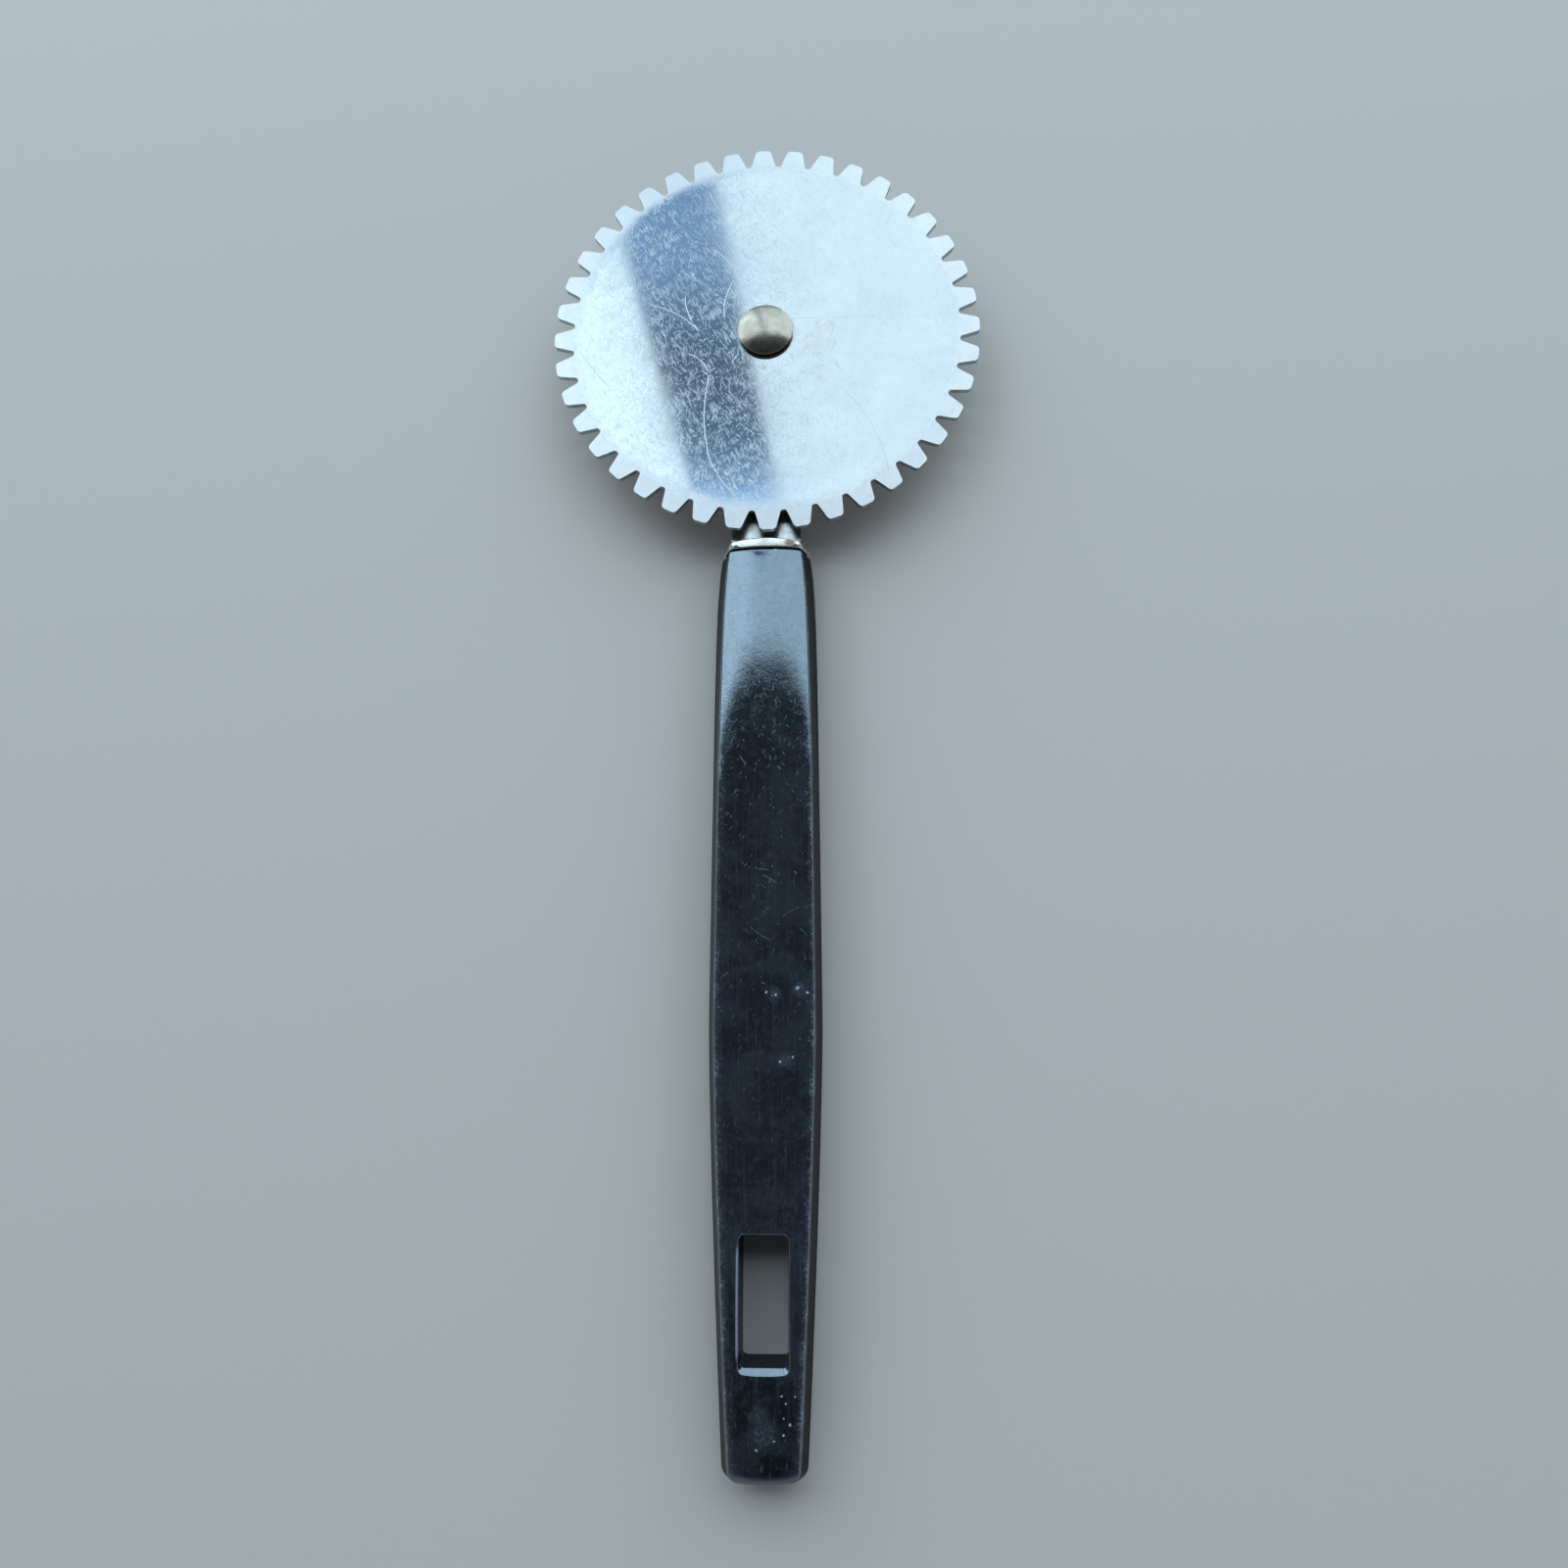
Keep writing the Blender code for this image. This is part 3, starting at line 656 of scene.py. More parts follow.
def mark_edges(obj):
    """Stores each point's distance in millimetres from some of the handle's lines.

    shoulder_mm and parting_mm are distances from those lines, slot_mm is the distance from the
    slot's walls, and below_mm is the depth below the top face's edge.
    """
    values = {"shoulder_mm": [], "parting_mm": [], "slot_mm": [], "below_mm": []}
    for vertex in obj.data.vertices:
        x, y, z = vertex.co
        along = min(max(HANDLE_FRONT_Y - y, 0.0), HANDLE_LENGTH)
        half_width = handle_half_width(along)
        top, draft = handle_top(along), handle_draft(along)
        inner, corner_height, _, _ = shoulder(half_width, top, draft)
        values["shoulder_mm"].append(math.hypot(abs(x) - inner, z - corner_height) / MM)
        ledge_x = half_width - parting_ledge(along) / 2
        values["parting_mm"].append(math.hypot(abs(x) - ledge_x, z - PARTING_HEIGHT) / MM)
        out_x = max(abs(x) - SLOT_WIDTH / 2, 0.0)
        out_y = max(y - SLOT_FRONT_Y, SLOT_REAR_Y - y, 0.0)
        values["slot_mm"].append(math.hypot(out_x, out_y) / MM)
        values["below_mm"].append((corner_height - z) / MM)
    for name, distances in values.items():
        obj.data.attributes.new(name, "FLOAT", "POINT").data.foreach_set("value", distances)


def make_handle(plastic):
    """The moulded handle with its tang socket and hanging slot."""
    end = Vector((0, HANDLE_LOW.y, PARTING_HEIGHT))
    handle = loft("moulded_handle", handle_rings(), last_tip=end)
    cut_tang_way(handle, SHANK_LOW.y - GAP, HANDLE_FRONT_Y + MM)
    cut(handle, make_slot_cutter())
    mark_edges(handle)
    stand_for(handle, "handle", "handle_body", plastic, 32)


def make_bolster(nickel):
    """The stamped plate between the handle's front and the neck, domed on its front face."""
    half_width = BOLSTER_HIGH.x
    low, high = BOLSTER_LOW.z, BOLSTER_HIGH.z - BOLSTER_CROWN
    inner = half_width - BOLSTER_DRAFT
    corners = [
        (-inner, low, BOLSTER_UNDER_ROUND),
        (inner, low, BOLSTER_UNDER_ROUND),
        (half_width, PARTING_HEIGHT, BOLSTER_SIDE_ROUND),
        (inner, high, BOLSTER_TOP_ROUND),
        (-inner, high, BOLSTER_TOP_ROUND),
        (-half_width, PARTING_HEIGHT, BOLSTER_SIDE_ROUND),
    ]
    section = rounded_outline(corners, BOLSTER_ARC_STEPS)
    arch_start = 4 * (BOLSTER_ARC_STEPS + 1)
    edge_x, edge_z = section[arch_start - 1]
    arch = [1 - 2 * i / BOLSTER_CROWN_STEPS for i in range(1, BOLSTER_CROWN_STEPS)]
    section[arch_start:arch_start] = [
        Vector((share * edge_x, edge_z + BOLSTER_CROWN * (1 - share**2))) for share in arch
    ]
    middle = (BOLSTER_HIGH.z + low) / 2
    thickness = BOLSTER_HIGH.y - BOLSTER_LOW.y
    levels = [(forward, inset, 0.0) for forward, inset in BOLSTER_REAR_BREAK]
    for step in range(BOLSTER_EDGE_STEPS + 1):
        angle = math.radians(90 * step / BOLSTER_EDGE_STEPS)
        forward = thickness - BOLSTER_EDGE_ROUND * (1 - math.sin(angle))
        levels.append((forward, BOLSTER_EDGE_ROUND * (1 - math.cos(angle)), BOLSTER_DOME))
    rings = []
    for forward, inset, fall in levels:
        across, tall = 1 - inset / half_width, 1 - inset / middle
        ring = []
        for point in section:
            y = BOLSTER_LOW.y + forward - fall * (point.x / half_width) ** 2
            ring.append(Vector((point.x * across, y, middle + (point.y - middle) * tall)))
        rings.append(ring)
    bolster = loft("domed_bolster", rings)
    cut_tang_way(bolster, BOLSTER_LOW.y - MM, BOLSTER_HIGH.y + MM)
    stand_for(bolster, "bolster", "handle_body", nickel, 40)


# Materials


class Nodes:
    """Makes a node tree's nodes and gives back their output sockets."""

    def __init__(self, tree):
        self.nodes = tree.nodes
        self.links = tree.links

    def put(self, socket, value):
        if isinstance(value, bpy.types.NodeSocket):
            self.links.new(value, socket)
        else:
            socket.default_value = value

    def node(self, kind, **inputs):
        """A new node with some inputs linked or set: from_min stands for From Min."""
        made = self.nodes.new("ShaderNode" + kind)
        for name, value in inputs.items():
            self.put(made.inputs[name.replace("_", " ").title()], value)
        return made

    def operation(self, kind, operation, values):
        node = self.node(kind)
        node.operation = operation
        for socket, value in zip(node.inputs, values):
            self.put(socket, value)
        return node

    def math(self, operation, *values, clamp=False):
        node = self.operation("Math", operation, values)
        node.use_clamp = clamp
        return node.outputs[0]

    def vector(self, operation, *values, scale=None):
        node = self.operation("VectorMath", operation, values)
        if scale is not None:
            self.put(node.inputs["Scale"], scale)
        return node.outputs["Value" if operation in ("LENGTH", "DISTANCE") else "Vector"]

    def fold(self, operation, values):
        """One operation over many values, each of them made only when its turn comes."""
        values = iter(values)
        made = next(values)
        for value in values:
            made = self.math(operation, made, value)
        return made

    def times(self, value, factor):
        return self.math("MULTIPLY", value, factor)

    def largest(self, *pairs):
        """The largest of some (value, weight) products."""
        return self.fold("MAXIMUM", (self.times(*pair) for pair in pairs))

    def total(self, *pairs):
        """The sum of some (value, weight) products."""
        return self.fold("ADD", (self.times(*pair) for pair in pairs))

    def axis(self, name, place):
        return self.node("SeparateXYZ", vector=place).outputs[name]

    def step(self, value, low, high, to_low=0.0, to_high=1.0):
        """A smooth step from to_low where the value is low to to_high where it is high."""
        node = self.node(
            "MapRange", value=value, from_min=low, from_max=high, to_min=to_low, to_max=to_high
        )
        node.interpolation_type = "SMOOTHSTEP"
        return node.outputs[0]

    def mix(self, share, first, second):
        """A colour between two, by share."""
        node = self.node("Mix", factor=share)
        node.data_type = "RGBA"
        for socket, colour in ((node.inputs[6], first), (node.inputs[7], second)):
            self.put(socket, (*colour, 1) if isinstance(colour, tuple) else colour)
        return node.outputs[2]

    def layered(self, colour, *layers):
        """A colour under layers of (mark, share, tint)."""
        for mark, share, tint in layers:
            colour = self.mix(self.times(mark, share), colour, tint)
        return colour


class Finish(Nodes):
    """One material's node tree. Places are object coordinates in millimetres."""

    def __init__(self, name, metallic):
        self.material = bpy.data.materials.new(name)
        self.material.use_nodes = True
        super().__init__(self.material.node_tree)
        self.shader = self.nodes["Principled BSDF"]
        self.shader.inputs["Metallic"].default_value = metallic
        coordinates = self.node("TexCoord").outputs["Object"]
        self.place = self.vector("SCALE", coordinates, scale=1 / MM)

    def set(self, name, value):
        self.put(self.shader.inputs[name], value)

    def attribute(self, name):
        node = self.node("Attribute")
        node.attribute_name = name
        return node.outputs["Fac"]

    def mapped(self, move=(0, 0, 0), turn=0.0, scale=(1, 1, 1), place=None):
        node = self.node("Mapping", vector=place or self.place)
        node.vector_type = "TEXTURE"
        node.inputs["Location"].default_value = move
        node.inputs["Rotation"].default_value = (0, 0, math.radians(turn))
        node.inputs["Scale"].default_value = [1 / size for size in scale]
        return node.outputs[0]

    def noise(self, scale, detail=3.0, roughness=0.5, place=None, distortion=0.0):
        node = self.node("TexNoise", vector=place or self.place, scale=scale, detail=detail)
        node.inputs["Roughness"].default_value = roughness
        node.inputs["Distortion"].default_value = distortion
        return node.outputs[0]

    def cells(self, place, scale=1.0):
        """Each place's distance from its Voronoi cell's point, and that cell's random number."""
        node = self.node("TexVoronoi", vector=place, scale=scale)
        pick = self.node("SeparateColor", color=node.outputs["Color"])
        return node.outputs["Distance"], pick.outputs[0]

    def bump(self, height, depth_mm, normal=None):
        node = self.node("Bump", strength=1.0, distance=depth_mm * MM, height=height)
        if normal is not None:
            self.put(node.inputs["Normal"], normal)
        return node.outputs[0]

    def flat_place(self):
        """The place with its height left out."""
        return self.vector("MULTIPLY", self.place, (1, 1, 0))

    def shaken(self, place, scale, amount):
        """The place moved about by a slow noise, so that straight marks bend."""
        node = self.node("TexNoise", vector=place, scale=scale, detail=1.0)
        centred = self.vector("SUBTRACT", node.outputs["Color"], (0.5, 0.5, 0.5))
        return self.vector("ADD", place, self.vector("SCALE", centred, scale=amount))

    def short_scratches(self, turn, length, width, thinning, seed, place):
        """Straight nicks at one angle, of mixed strength: thinning is the share left out."""
        reach = 0.3
        per_cell = (2 * reach / length, 2 * reach / width, 0.001)
        distance, chance = self.cells(self.mapped((seed, seed, 0), turn, per_cell, place))
        line = self.step(distance, 0.4 * reach, reach, 1.0, 0.0)
        return self.times(line, self.step(chance, thinning, 0.6 * thinning + 0.4))

    def nicks(self, kinds, place):
        """Several layers of short scratches."""
        return self.fold("MAXIMUM", (self.short_scratches(*kind, place) for kind in kinds))

    def stroke(self, points, width, place):
        """A drawn scratch: an arc through three points, in millimetres."""
        start, through, end = [Vector(point) for point in points]
        first, second = through - start, end - start
        twice = 2 * first.cross(second)
        centre = start + Vector((
            (second.y * first.length_squared - first.y * second.length_squared) / twice,
            (first.x * second.length_squared - second.x * first.length_squared) / twice,
        ))
        half_chord = second.length / 2
        out = self.vector("DISTANCE", place, (*centre, 0))
        off = self.math("ABSOLUTE", self.math("SUBTRACT", out, (start - centre).length))
        line = self.step(off, 0.25 * width, width, 1.0, 0.0)
        along = self.vector("DISTANCE", place, (*((start + end) / 2), 0))
        return self.times(line, self.step(along, 0.8 * half_chord, half_chord, 1.0, 0.0))

    def strokes(self, many, width, place):
        return self.fold("MAXIMUM", (self.stroke(points, width, place) for points in many))

    def spot(self, middle, size, place):
        """A small mark about a point."""
        reach = self.vector("DISTANCE", place, (*middle, 0))
        return self.step(reach, 0.4 * size, size, 1.0, 0.0)


LONG_SCRATCHES = [
    [(-7.8, -5.7), (-8.5, -11.5), (-7.9, -18.4)],
    [(-8.2, -17.2), (-6.4, -22.0), (-2.1, -26.5)],
    [(-4.4, 8.8), (-5.6, 6.0), (-5.8, 2.2)],
    [(-3.7, -3.3), (-4.3, -4.0), (-4.7, -4.8)],
    [(-17.0, 4.9), (-12.7, 3.4), (-9.3, 0.2)],
    [(-11.5, 6.6), (-11.0, 3.3), (-9.5, 0.7)],
    [(-10.9, -3.0), (-8.7, -4.7), (-8.0, -6.1)],
    [(-7.4, 13.7), (-5.8, 12.1), (-4.4, 10.2)],
]
FAINT_SCRATCHES = [
    [(10.5, -9.0), (15.2, -16.0), (16.9, -22.9)],
    [(-26.6, -1.8), (-24.4, -4.9), (-21.8, -8.0)],
    [(9.2, 1.0), (9.4, 0.0), (9.0, -1.1)],
]
STAINS = [((7.8, -1.0), 2.2), ((8.4, -7.0), 2.1)]
# Layers of short scratches: direction in degrees, length, width, share left out and a seed
STEEL_NICKS = [
    (121, 1.2, 0.065, 0.48, 1.3),
    (112, 2.1, 0.06, 0.62, 4.1),
    (64, 1.0, 0.065, 0.62, 7.7),
    (136, 1.6, 0.06, 0.68, 2.9),
    (84, 2.8, 0.055, 0.80, 5.5),
    (152, 1.0, 0.065, 0.76, 9.2),
    (25, 1.6, 0.06, 0.84, 3.6),
    (118, 0.4, 0.09, 0.66, 6.5),
]
HANDLE_NICKS = [(55, 0.8, 0.06, 0.92, 2.2), (130, 0.7, 0.06, 0.94, 6.4), (95, 1.4, 0.05, 0.95, 8.8)]
HANDLE_HAZE = [(20, 1.0, 0.06, 0.5, 1.1), (70, 1.4, 0.06, 0.5, 3.7), (140, 1.2, 0.06, 0.5, 5.9)]


def steel_face():
    """Polished sheet steel after years of use: scratches, smears, dried stains, dull teeth."""
    f = Finish("steel_polished_worn", 1.0)
    flat = f.flat_place()
    bent = f.shaken(flat, 0.12, 0.9)
    patches = f.step(f.noise(0.2, 3, 0.6), 0.35, 0.62, 0.35, 1.0)
    nick = f.times(f.nicks(STEEL_NICKS, bent), patches)
    long_place = f.shaken(flat, 0.4, 0.2)
    long_lines = f.strokes(LONG_SCRATCHES, 0.072, long_place)
    long_lines = f.times(long_lines, f.step(f.noise(1.8, 3, 0.7), 0.36, 0.56, 0.3, 1.0))
    faint = f.strokes(FAINT_SCRATCHES, 0.08, long_place)
    scratch = f.largest((nick, 0.5), (long_lines, 1.0), (faint, 0.5))
    hairlines = [
        f.noise(1.0, 2, 0.6, f.mapped(move, turn, (0.5, 11, 1), bent))
        for move, turn in (((0, 0, 0), 118), ((3, 1, 0), 62))
    ]
    hair = f.fold("MAXIMUM", (f.step(lines, 0.60, 0.75) for lines in hairlines))
    smear = f.noise(0.12, 4, 0.6, distortion=0.8)
    dust = f.step(f.noise(1.3, 4, 0.7), 0.45, 0.75)
    radius = f.vector("LENGTH", flat)
    ragged = f.math("ADD", radius, f.math("MULTIPLY_ADD", f.noise(0.9, 2), 1.0, -0.5))
    rim = f.step(ragged, 25.6, 27.8)
    # A darker, rougher ring just round the rivet's head
    rivet_ring = f.times(f.step(radius, 3.9, 4.5, 1.0, 0.0), f.step(f.noise(1.6, 3), 0.35, 0.65))
    stain = 0.0
    for (x, y), size in STAINS:
        reach = f.vector("DISTANCE", f.shaken(flat, 0.45, 3.2), (x, y, 0))
        ring = f.step(f.math("ABSOLUTE", f.math("SUBTRACT", reach, size)), 0.05, 0.5, 1.0, 0.0)
        inside = f.step(reach, size - 0.5, size, 0.55, 0.0)
        stain = f.fold("MAXIMUM", (stain, ring, inside))
    stain = f.times(stain, f.step(f.noise(0.5, 3), 0.42, 0.62))
    colour = f.layered(
        f.mix(f.step(smear, 0.35, 0.7), (0.53, 0.545, 0.56), (0.49, 0.51, 0.535)),
        (f.step(ragged, 26.2, 27.9), 0.9, (0.63, 0.635, 0.64)),
        (dust, 0.15, (0.40, 0.41, 0.42)),
        (scratch, 0.2, (0.40, 0.41, 0.42)),
        (stain, 0.22, (0.42, 0.33, 0.24)),
        (rivet_ring, 0.5, (0.30, 0.29, 0.27)),
    )
    f.set("Base Color", colour)
    rough = f.total(
        (f.step(smear, 0.3, 0.75, 0.05, 0.08), 1.0),
        (scratch, 0.38),
        (hair, 0.05),
        (dust, 0.02),
        (rim, 0.24),
        (rivet_ring, 0.12),
        (stain, 0.05),
    )
    f.set("Roughness", rough)
    waves = f.bump(f.noise(0.09, 1), 0.006)
    pits = f.step(f.noise(3.0, 4, 0.7), 0.30, 0.42)
    fine = f.bump(f.math("SUBTRACT", f.times(pits, 0.3), scratch), 0.0045, waves)
    f.set("Normal", fine)
    return f.material


def steel_edge():
    """The wheel's stamped edge: fine upright tear marks and a duller face."""
    f = Finish("steel_stamped_edge", 1.0)
    marks = f.noise(1.0, 3, 0.6, f.mapped(scale=(6, 6, 0.8)))
    grime = f.noise(0.7, 3)
    f.set("Base Color", f.mix(f.step(grime, 0.35, 0.7), (0.52, 0.55, 0.58), (0.36, 0.37, 0.38)))
    f.set("Roughness", f.step(marks, 0.3, 0.7, 0.26, 0.42))
    f.set("Normal", f.bump(marks, 0.02))
    return f.material


def steel_shank():
    """The stamped shank: mill lines along it, small dents and dull patches."""
    f = Finish("steel_shank", 1.0)
    mill = f.noise(1.0, 3, 0.6, f.mapped(scale=(8, 0.25, 8)))
    patch = f.noise(0.35, 3, 0.6)
    nick = f.short_scratches(25, 1.6, 0.09, 0.88, 3.3, f.flat_place())
    f.set("Base Color", f.mix(f.step(patch, 0.35, 0.7), (0.60, 0.61, 0.61), (0.47, 0.46, 0.44)))
    smooth = f.step(patch, 0.3, 0.7, 0.17, 0.30)
    rough = f.total((smooth, 1.0), (f.step(mill, 0.4, 0.7), 0.06), (nick, 0.2))
    f.set("Roughness", rough)
    dents = f.bump(f.noise(0.5, 2), 0.02)
    f.set("Normal", f.bump(f.math("SUBTRACT", f.times(mill, 0.5), nick), 0.004, dents))
    return f.material


def nickel_plate():
    """Aged nickel: warm and cloudy, pitted, with a grey bloom where the plate is thin."""
    f = Finish("nickel_aged", 1.0)
    cloud = f.noise(0.55, 4, 0.6, distortion=0.6)
    spots, chance = f.cells(f.place, 2.4)
    pit = f.times(f.step(spots, 0.07, 0.2, 1.0, 0.0), f.step(chance, 0.72, 0.78))
    freckles = f.step(f.noise(4.5, 3, 0.6), 0.60, 0.70)
    colour = f.layered(
        f.mix(f.step(cloud, 0.3, 0.7), (0.48, 0.435, 0.365), (0.36, 0.325, 0.265)),
        (freckles, 0.45, (0.34, 0.31, 0.25)),
        (pit, 0.85, (0.13, 0.11, 0.09)),
    )
    f.set("Base Color", colour)
    rough = f.total((f.step(cloud, 0.3, 0.7, 0.20, 0.30), 1.0), (freckles, 0.10), (pit, 0.3))
    f.set("Roughness", rough)
    swell = f.bump(f.noise(0.8, 2), 0.02)
    f.set("Normal", f.bump(f.math("SUBTRACT", f.times(f.noise(6, 3), 0.3), pit), 0.012, swell))
    return f.material


def nickel_bolster():
    """The bolster's nickel: bright on its front edge, with tide marks and a rusty spot."""
    f = Finish("nickel_bolster", 1.0)
    cloud = f.noise(0.8, 4, 0.6)
    speck = f.step(f.noise(3.5, 3, 0.6), 0.60, 0.72)
    rust_middle = (3.3, HANDLE_FRONT_Y / MM + 1.0, 6.4)
    to_rust = f.vector("DISTANCE", f.shaken(f.place, 1.5, 0.7), rust_middle)
    rust = f.step(to_rust, 0.35, 1.1, 1.0, 0.0)
    colour = f.layered(
        f.mix(f.step(cloud, 0.35, 0.7), (0.84, 0.82, 0.77), (0.70, 0.68, 0.62)),
        (speck, 0.4, (0.38, 0.33, 0.27)),
        (rust, 0.7, (0.30, 0.14, 0.08)),
    )
    f.set("Base Color", colour)
    rough = f.total((f.step(cloud, 0.3, 0.7, 0.20, 0.32), 1.0), (speck, 0.1), (rust, 0.3))
    f.set("Roughness", rough)
    f.set("Normal", f.bump(f.total((f.noise(5, 3), 0.4), (speck, -0.6)), 0.012))
    return f.material


HANDLE_STROKES = [
    [(-1.1, -17.9), (-0.2, -18.2), (0.6, -18.4)],
    [(-0.2, -18.9), (0.7, -19.4), (1.7, -20.1)],
    [(4.4, -22.8), (3.3, -23.4), (2.3, -24.1)],
    [(-1.9, -25.3), (-0.5, -26.1), (1.0, -27.0)],
    [(4.1, -25.2), (4.6, -25.6), (5.0, -26.2)],
    [(-4.3, -30.6), (-4.9, -31.2), (-5.5, -31.7)],
    [(-3.2, -3.2), (-2.8, -3.8), (-2.4, -4.3)],
]
# A painted highlight: a pale line along the slot's left edge
SLOT_EDGE_HIGHLIGHT = [(-3.05, -61.9), (-3.1, -68.5), (-3.05, -75.0)]
# Chips whose bright, pale colour is partly a painted highlight
CHIPS_AND_GLINTS = [
    ((0.3, -33.2), 0.22), ((1.4, -33.5), 0.2), ((4.1, -32.7), 0.28), ((5.3, -33.2), 0.2),
    ((2.0, -41.4), 0.2), ((3.5, -40.9), 0.16), ((2.1, -78.3), 0.14), ((2.6, -79.1), 0.16),
    ((3.6, -78.4), 0.14), ((2.3, -80.6), 0.14), ((3.0, -81.3), 0.17), ((2.3, -82.4), 0.2),
    ((1.2, -83.0), 0.15), ((-0.8, -83.9), 0.15), ((1.4, 25.1), 0.22),
]
# Scuffs; the two near the end also stand in for a soft glint, painted as a bluish haze
SCUFFS_AND_GLINT = [
    ((1.3, -33.3), 1.3), ((4.4, -32.9), 1.4), ((2.6, -41.2), 1.2),
    ((0.1, -82.3), 2.4), ((-0.5, -80.6), 1.6),
]
# Chosen with the tint for how strongly the photo's handle mirrors the light, not measured
HANDLE_IOR = 2.15
HANDLE_TINT = (0.72, 0.86, 1.0, 1)


def handle_plastic():
    """Black moulding: polished by handling on top, dull at the sides under a painted shade, pale
    along its shoulders from wear and a painted reflection.
    """
    f = Finish("plastic_black_worn", 0.0)
    f.set("IOR", HANDLE_IOR)
    f.set("Specular Tint", HANDLE_TINT)
    to_shoulder = f.attribute("shoulder_mm")
    to_parting = f.attribute("parting_mm")
    to_slot = f.attribute("slot_mm")
    side = f.step(f.attribute("below_mm"), -0.1, 0.5)
    film = f.noise(0.16, 4, 0.6, distortion=0.5)
    streaks = f.noise(1.0, 3, 0.6, f.mapped(scale=(3.5, 0.12, 3.5)))
    grain = f.noise(4.0, 4, 0.65)
    speckle = f.noise(2.6, 4, 0.7)
    mottle = f.noise(1.1, 5, 0.65, distortion=0.4)
    # The pale marks along the shoulders are partly wear and partly a painted reflection
    along_edge = f.noise(1.0, 3, 0.65, f.mapped(scale=(0.6, 0.35, 0.6)))
    reach = f.step(along_edge, 0.3, 0.7, 0.15, 1.0)
    close = f.math("SUBTRACT", 1.0, f.math("DIVIDE", to_shoulder, reach), clamp=True)
    worn = f.times(close, f.step(speckle, 0.42, 0.62, 0.1, 1.0))
    worn = f.times(worn, f.step(f.noise(0.5, 3, 0.6), 0.40, 0.58, 0.15, 1.0))
    shoulder_rub_and_sheen = f.times(f.step(to_shoulder, 0.2, 1.5, 1.0, 0.0), f.step(speckle, 0.5, 0.72))
    # The parting ridge's paler brown near the front is a painted reflection
    ridge = f.step(to_parting, 0.14, 0.34, 1.0, 0.0)
    ridge = f.times(ridge, f.step(f.noise(0.8, 3), 0.3, 0.6, 0.3, 1.0))
    ridge = f.times(ridge, f.step(f.axis("Y", f.place), -4.0, 18.0))
    slot_rim = f.times(f.step(to_slot, 0.1, 0.5, 1.0, 0.0), f.step(speckle, 0.5, 0.7))
    flat = f.flat_place()
    bent = f.shaken(flat, 0.3, 0.8)
    top = f.step(side, 0.0, 0.7, 1.0, 0.0)
    lines = f.strokes(HANDLE_STROKES, 0.07, bent)
    lines = f.times(f.times(lines, top), f.step(speckle, 0.38, 0.58, 0.2, 1.0))
    # painted highlight along the slot's left edge
    slot_edge_highlight = f.times(f.stroke(SLOT_EDGE_HIGHLIGHT, 0.2, flat), f.step(speckle, 0.3, 0.5, 0.6, 1.0))
    nicks = f.times(f.nicks(HANDLE_NICKS, bent), top)
    hazy = f.times(f.nicks(HANDLE_HAZE, bent), top)
    dots, chance = f.cells(f.place, 0.9)
    fleck = f.times(f.step(dots, 0.05, 0.12, 1.0, 0.0), f.step(chance, 0.86, 0.90))
    ragged = f.shaken(flat, 2.5, 0.35)
    chips_and_glints = f.fold("MAXIMUM", (f.spot(*chip, ragged) for chip in CHIPS_AND_GLINTS))
    chips_and_glints = f.times(f.times(chips_and_glints, top), f.step(speckle, 0.36, 0.5, 0.3, 1.0))
    scuff_and_glint = 0.0
    for (x, y), size in SCUFFS_AND_GLINT:
        spot = f.vector("DISTANCE", f.shaken(flat, 0.7, 1.2), (x, y, 0))
        mark = f.times(f.step(spot, 0.2 * size, size, 1.0, 0.0), top)
        scuff_and_glint = f.math("MAXIMUM", scuff_and_glint, mark)
    scuff_marks = f.times(scuff_and_glint, f.step(speckle, 0.52, 0.68))
    pale = f.largest(
        (worn, 0.8),
        (shoulder_rub_and_sheen, 0.3),
        (lines, 0.4),
        (nicks, 0.3),
        (fleck, 0.6),
        (chips_and_glints, 1.0),
        (scuff_marks, 0.3),
        (slot_rim, 0.12),
        (slot_edge_highlight, 1.0),
    )
    base = f.layered(
        f.mix(f.step(film, 0.42, 0.6), (0.0035, 0.0042, 0.0055), (0.021, 0.025, 0.031)),
        (f.step(streaks, 0.5, 0.68), 0.45, (0.046, 0.053, 0.064)),
        (f.step(mottle, 0.48, 0.68), 0.5, (0.050, 0.058, 0.072)),
        (hazy, 0.2, (0.10, 0.12, 0.14)),
        # painted glint: a bluish haze on the scuffs, the two near the end standing in for a glint
        (scuff_and_glint, 0.6, (0.06, 0.075, 0.095)),
        # painted shade: the sides get a darker, warm base than the top
        (side, 0.85, (0.007, 0.006, 0.005)),
        # painted reflection: paler brown along the parting ridge near the front
        (ridge, 0.55, (0.22, 0.19, 0.17)),
        # pale marks: wear, with painted reflections along the shoulders and painted highlights on
        # the chips and the slot's left edge
        (pale, 0.9, (0.38, 0.46, 0.54)),
        # chips: partly real chips, partly painted highlights
        (chips_and_glints, 0.8, (0.74, 0.80, 0.86)),
    )
    f.set("Base Color", base)
    rough = f.total(
        (f.step(film, 0.3, 0.75, 0.045, 0.07), 1.0),
        (f.step(grain, 0.35, 0.7), 0.025),
        (f.step(mottle, 0.35, 0.7), 0.02),
        (hazy, 0.03),
        (pale, 0.4),
        (ridge, 0.15),
        (scuff_and_glint, 0.12),
        (side, 0.25),
        (f.step(f.axis("Y", f.place), 24.7, 25.1), 0.25),
    )
    f.set("Roughness", rough)
    clean = f.step(f.total((mottle, 0.6), (grain, 0.4)), 0.38, 0.62, 1.0, 0.85)
    clean = f.times(clean, f.step(side, 0.0, 1.0, 1.0, 0.02))
    f.set("Specular IOR Level", f.times(clean, f.math("SUBTRACT", 1.0, pale, clamp=True)))
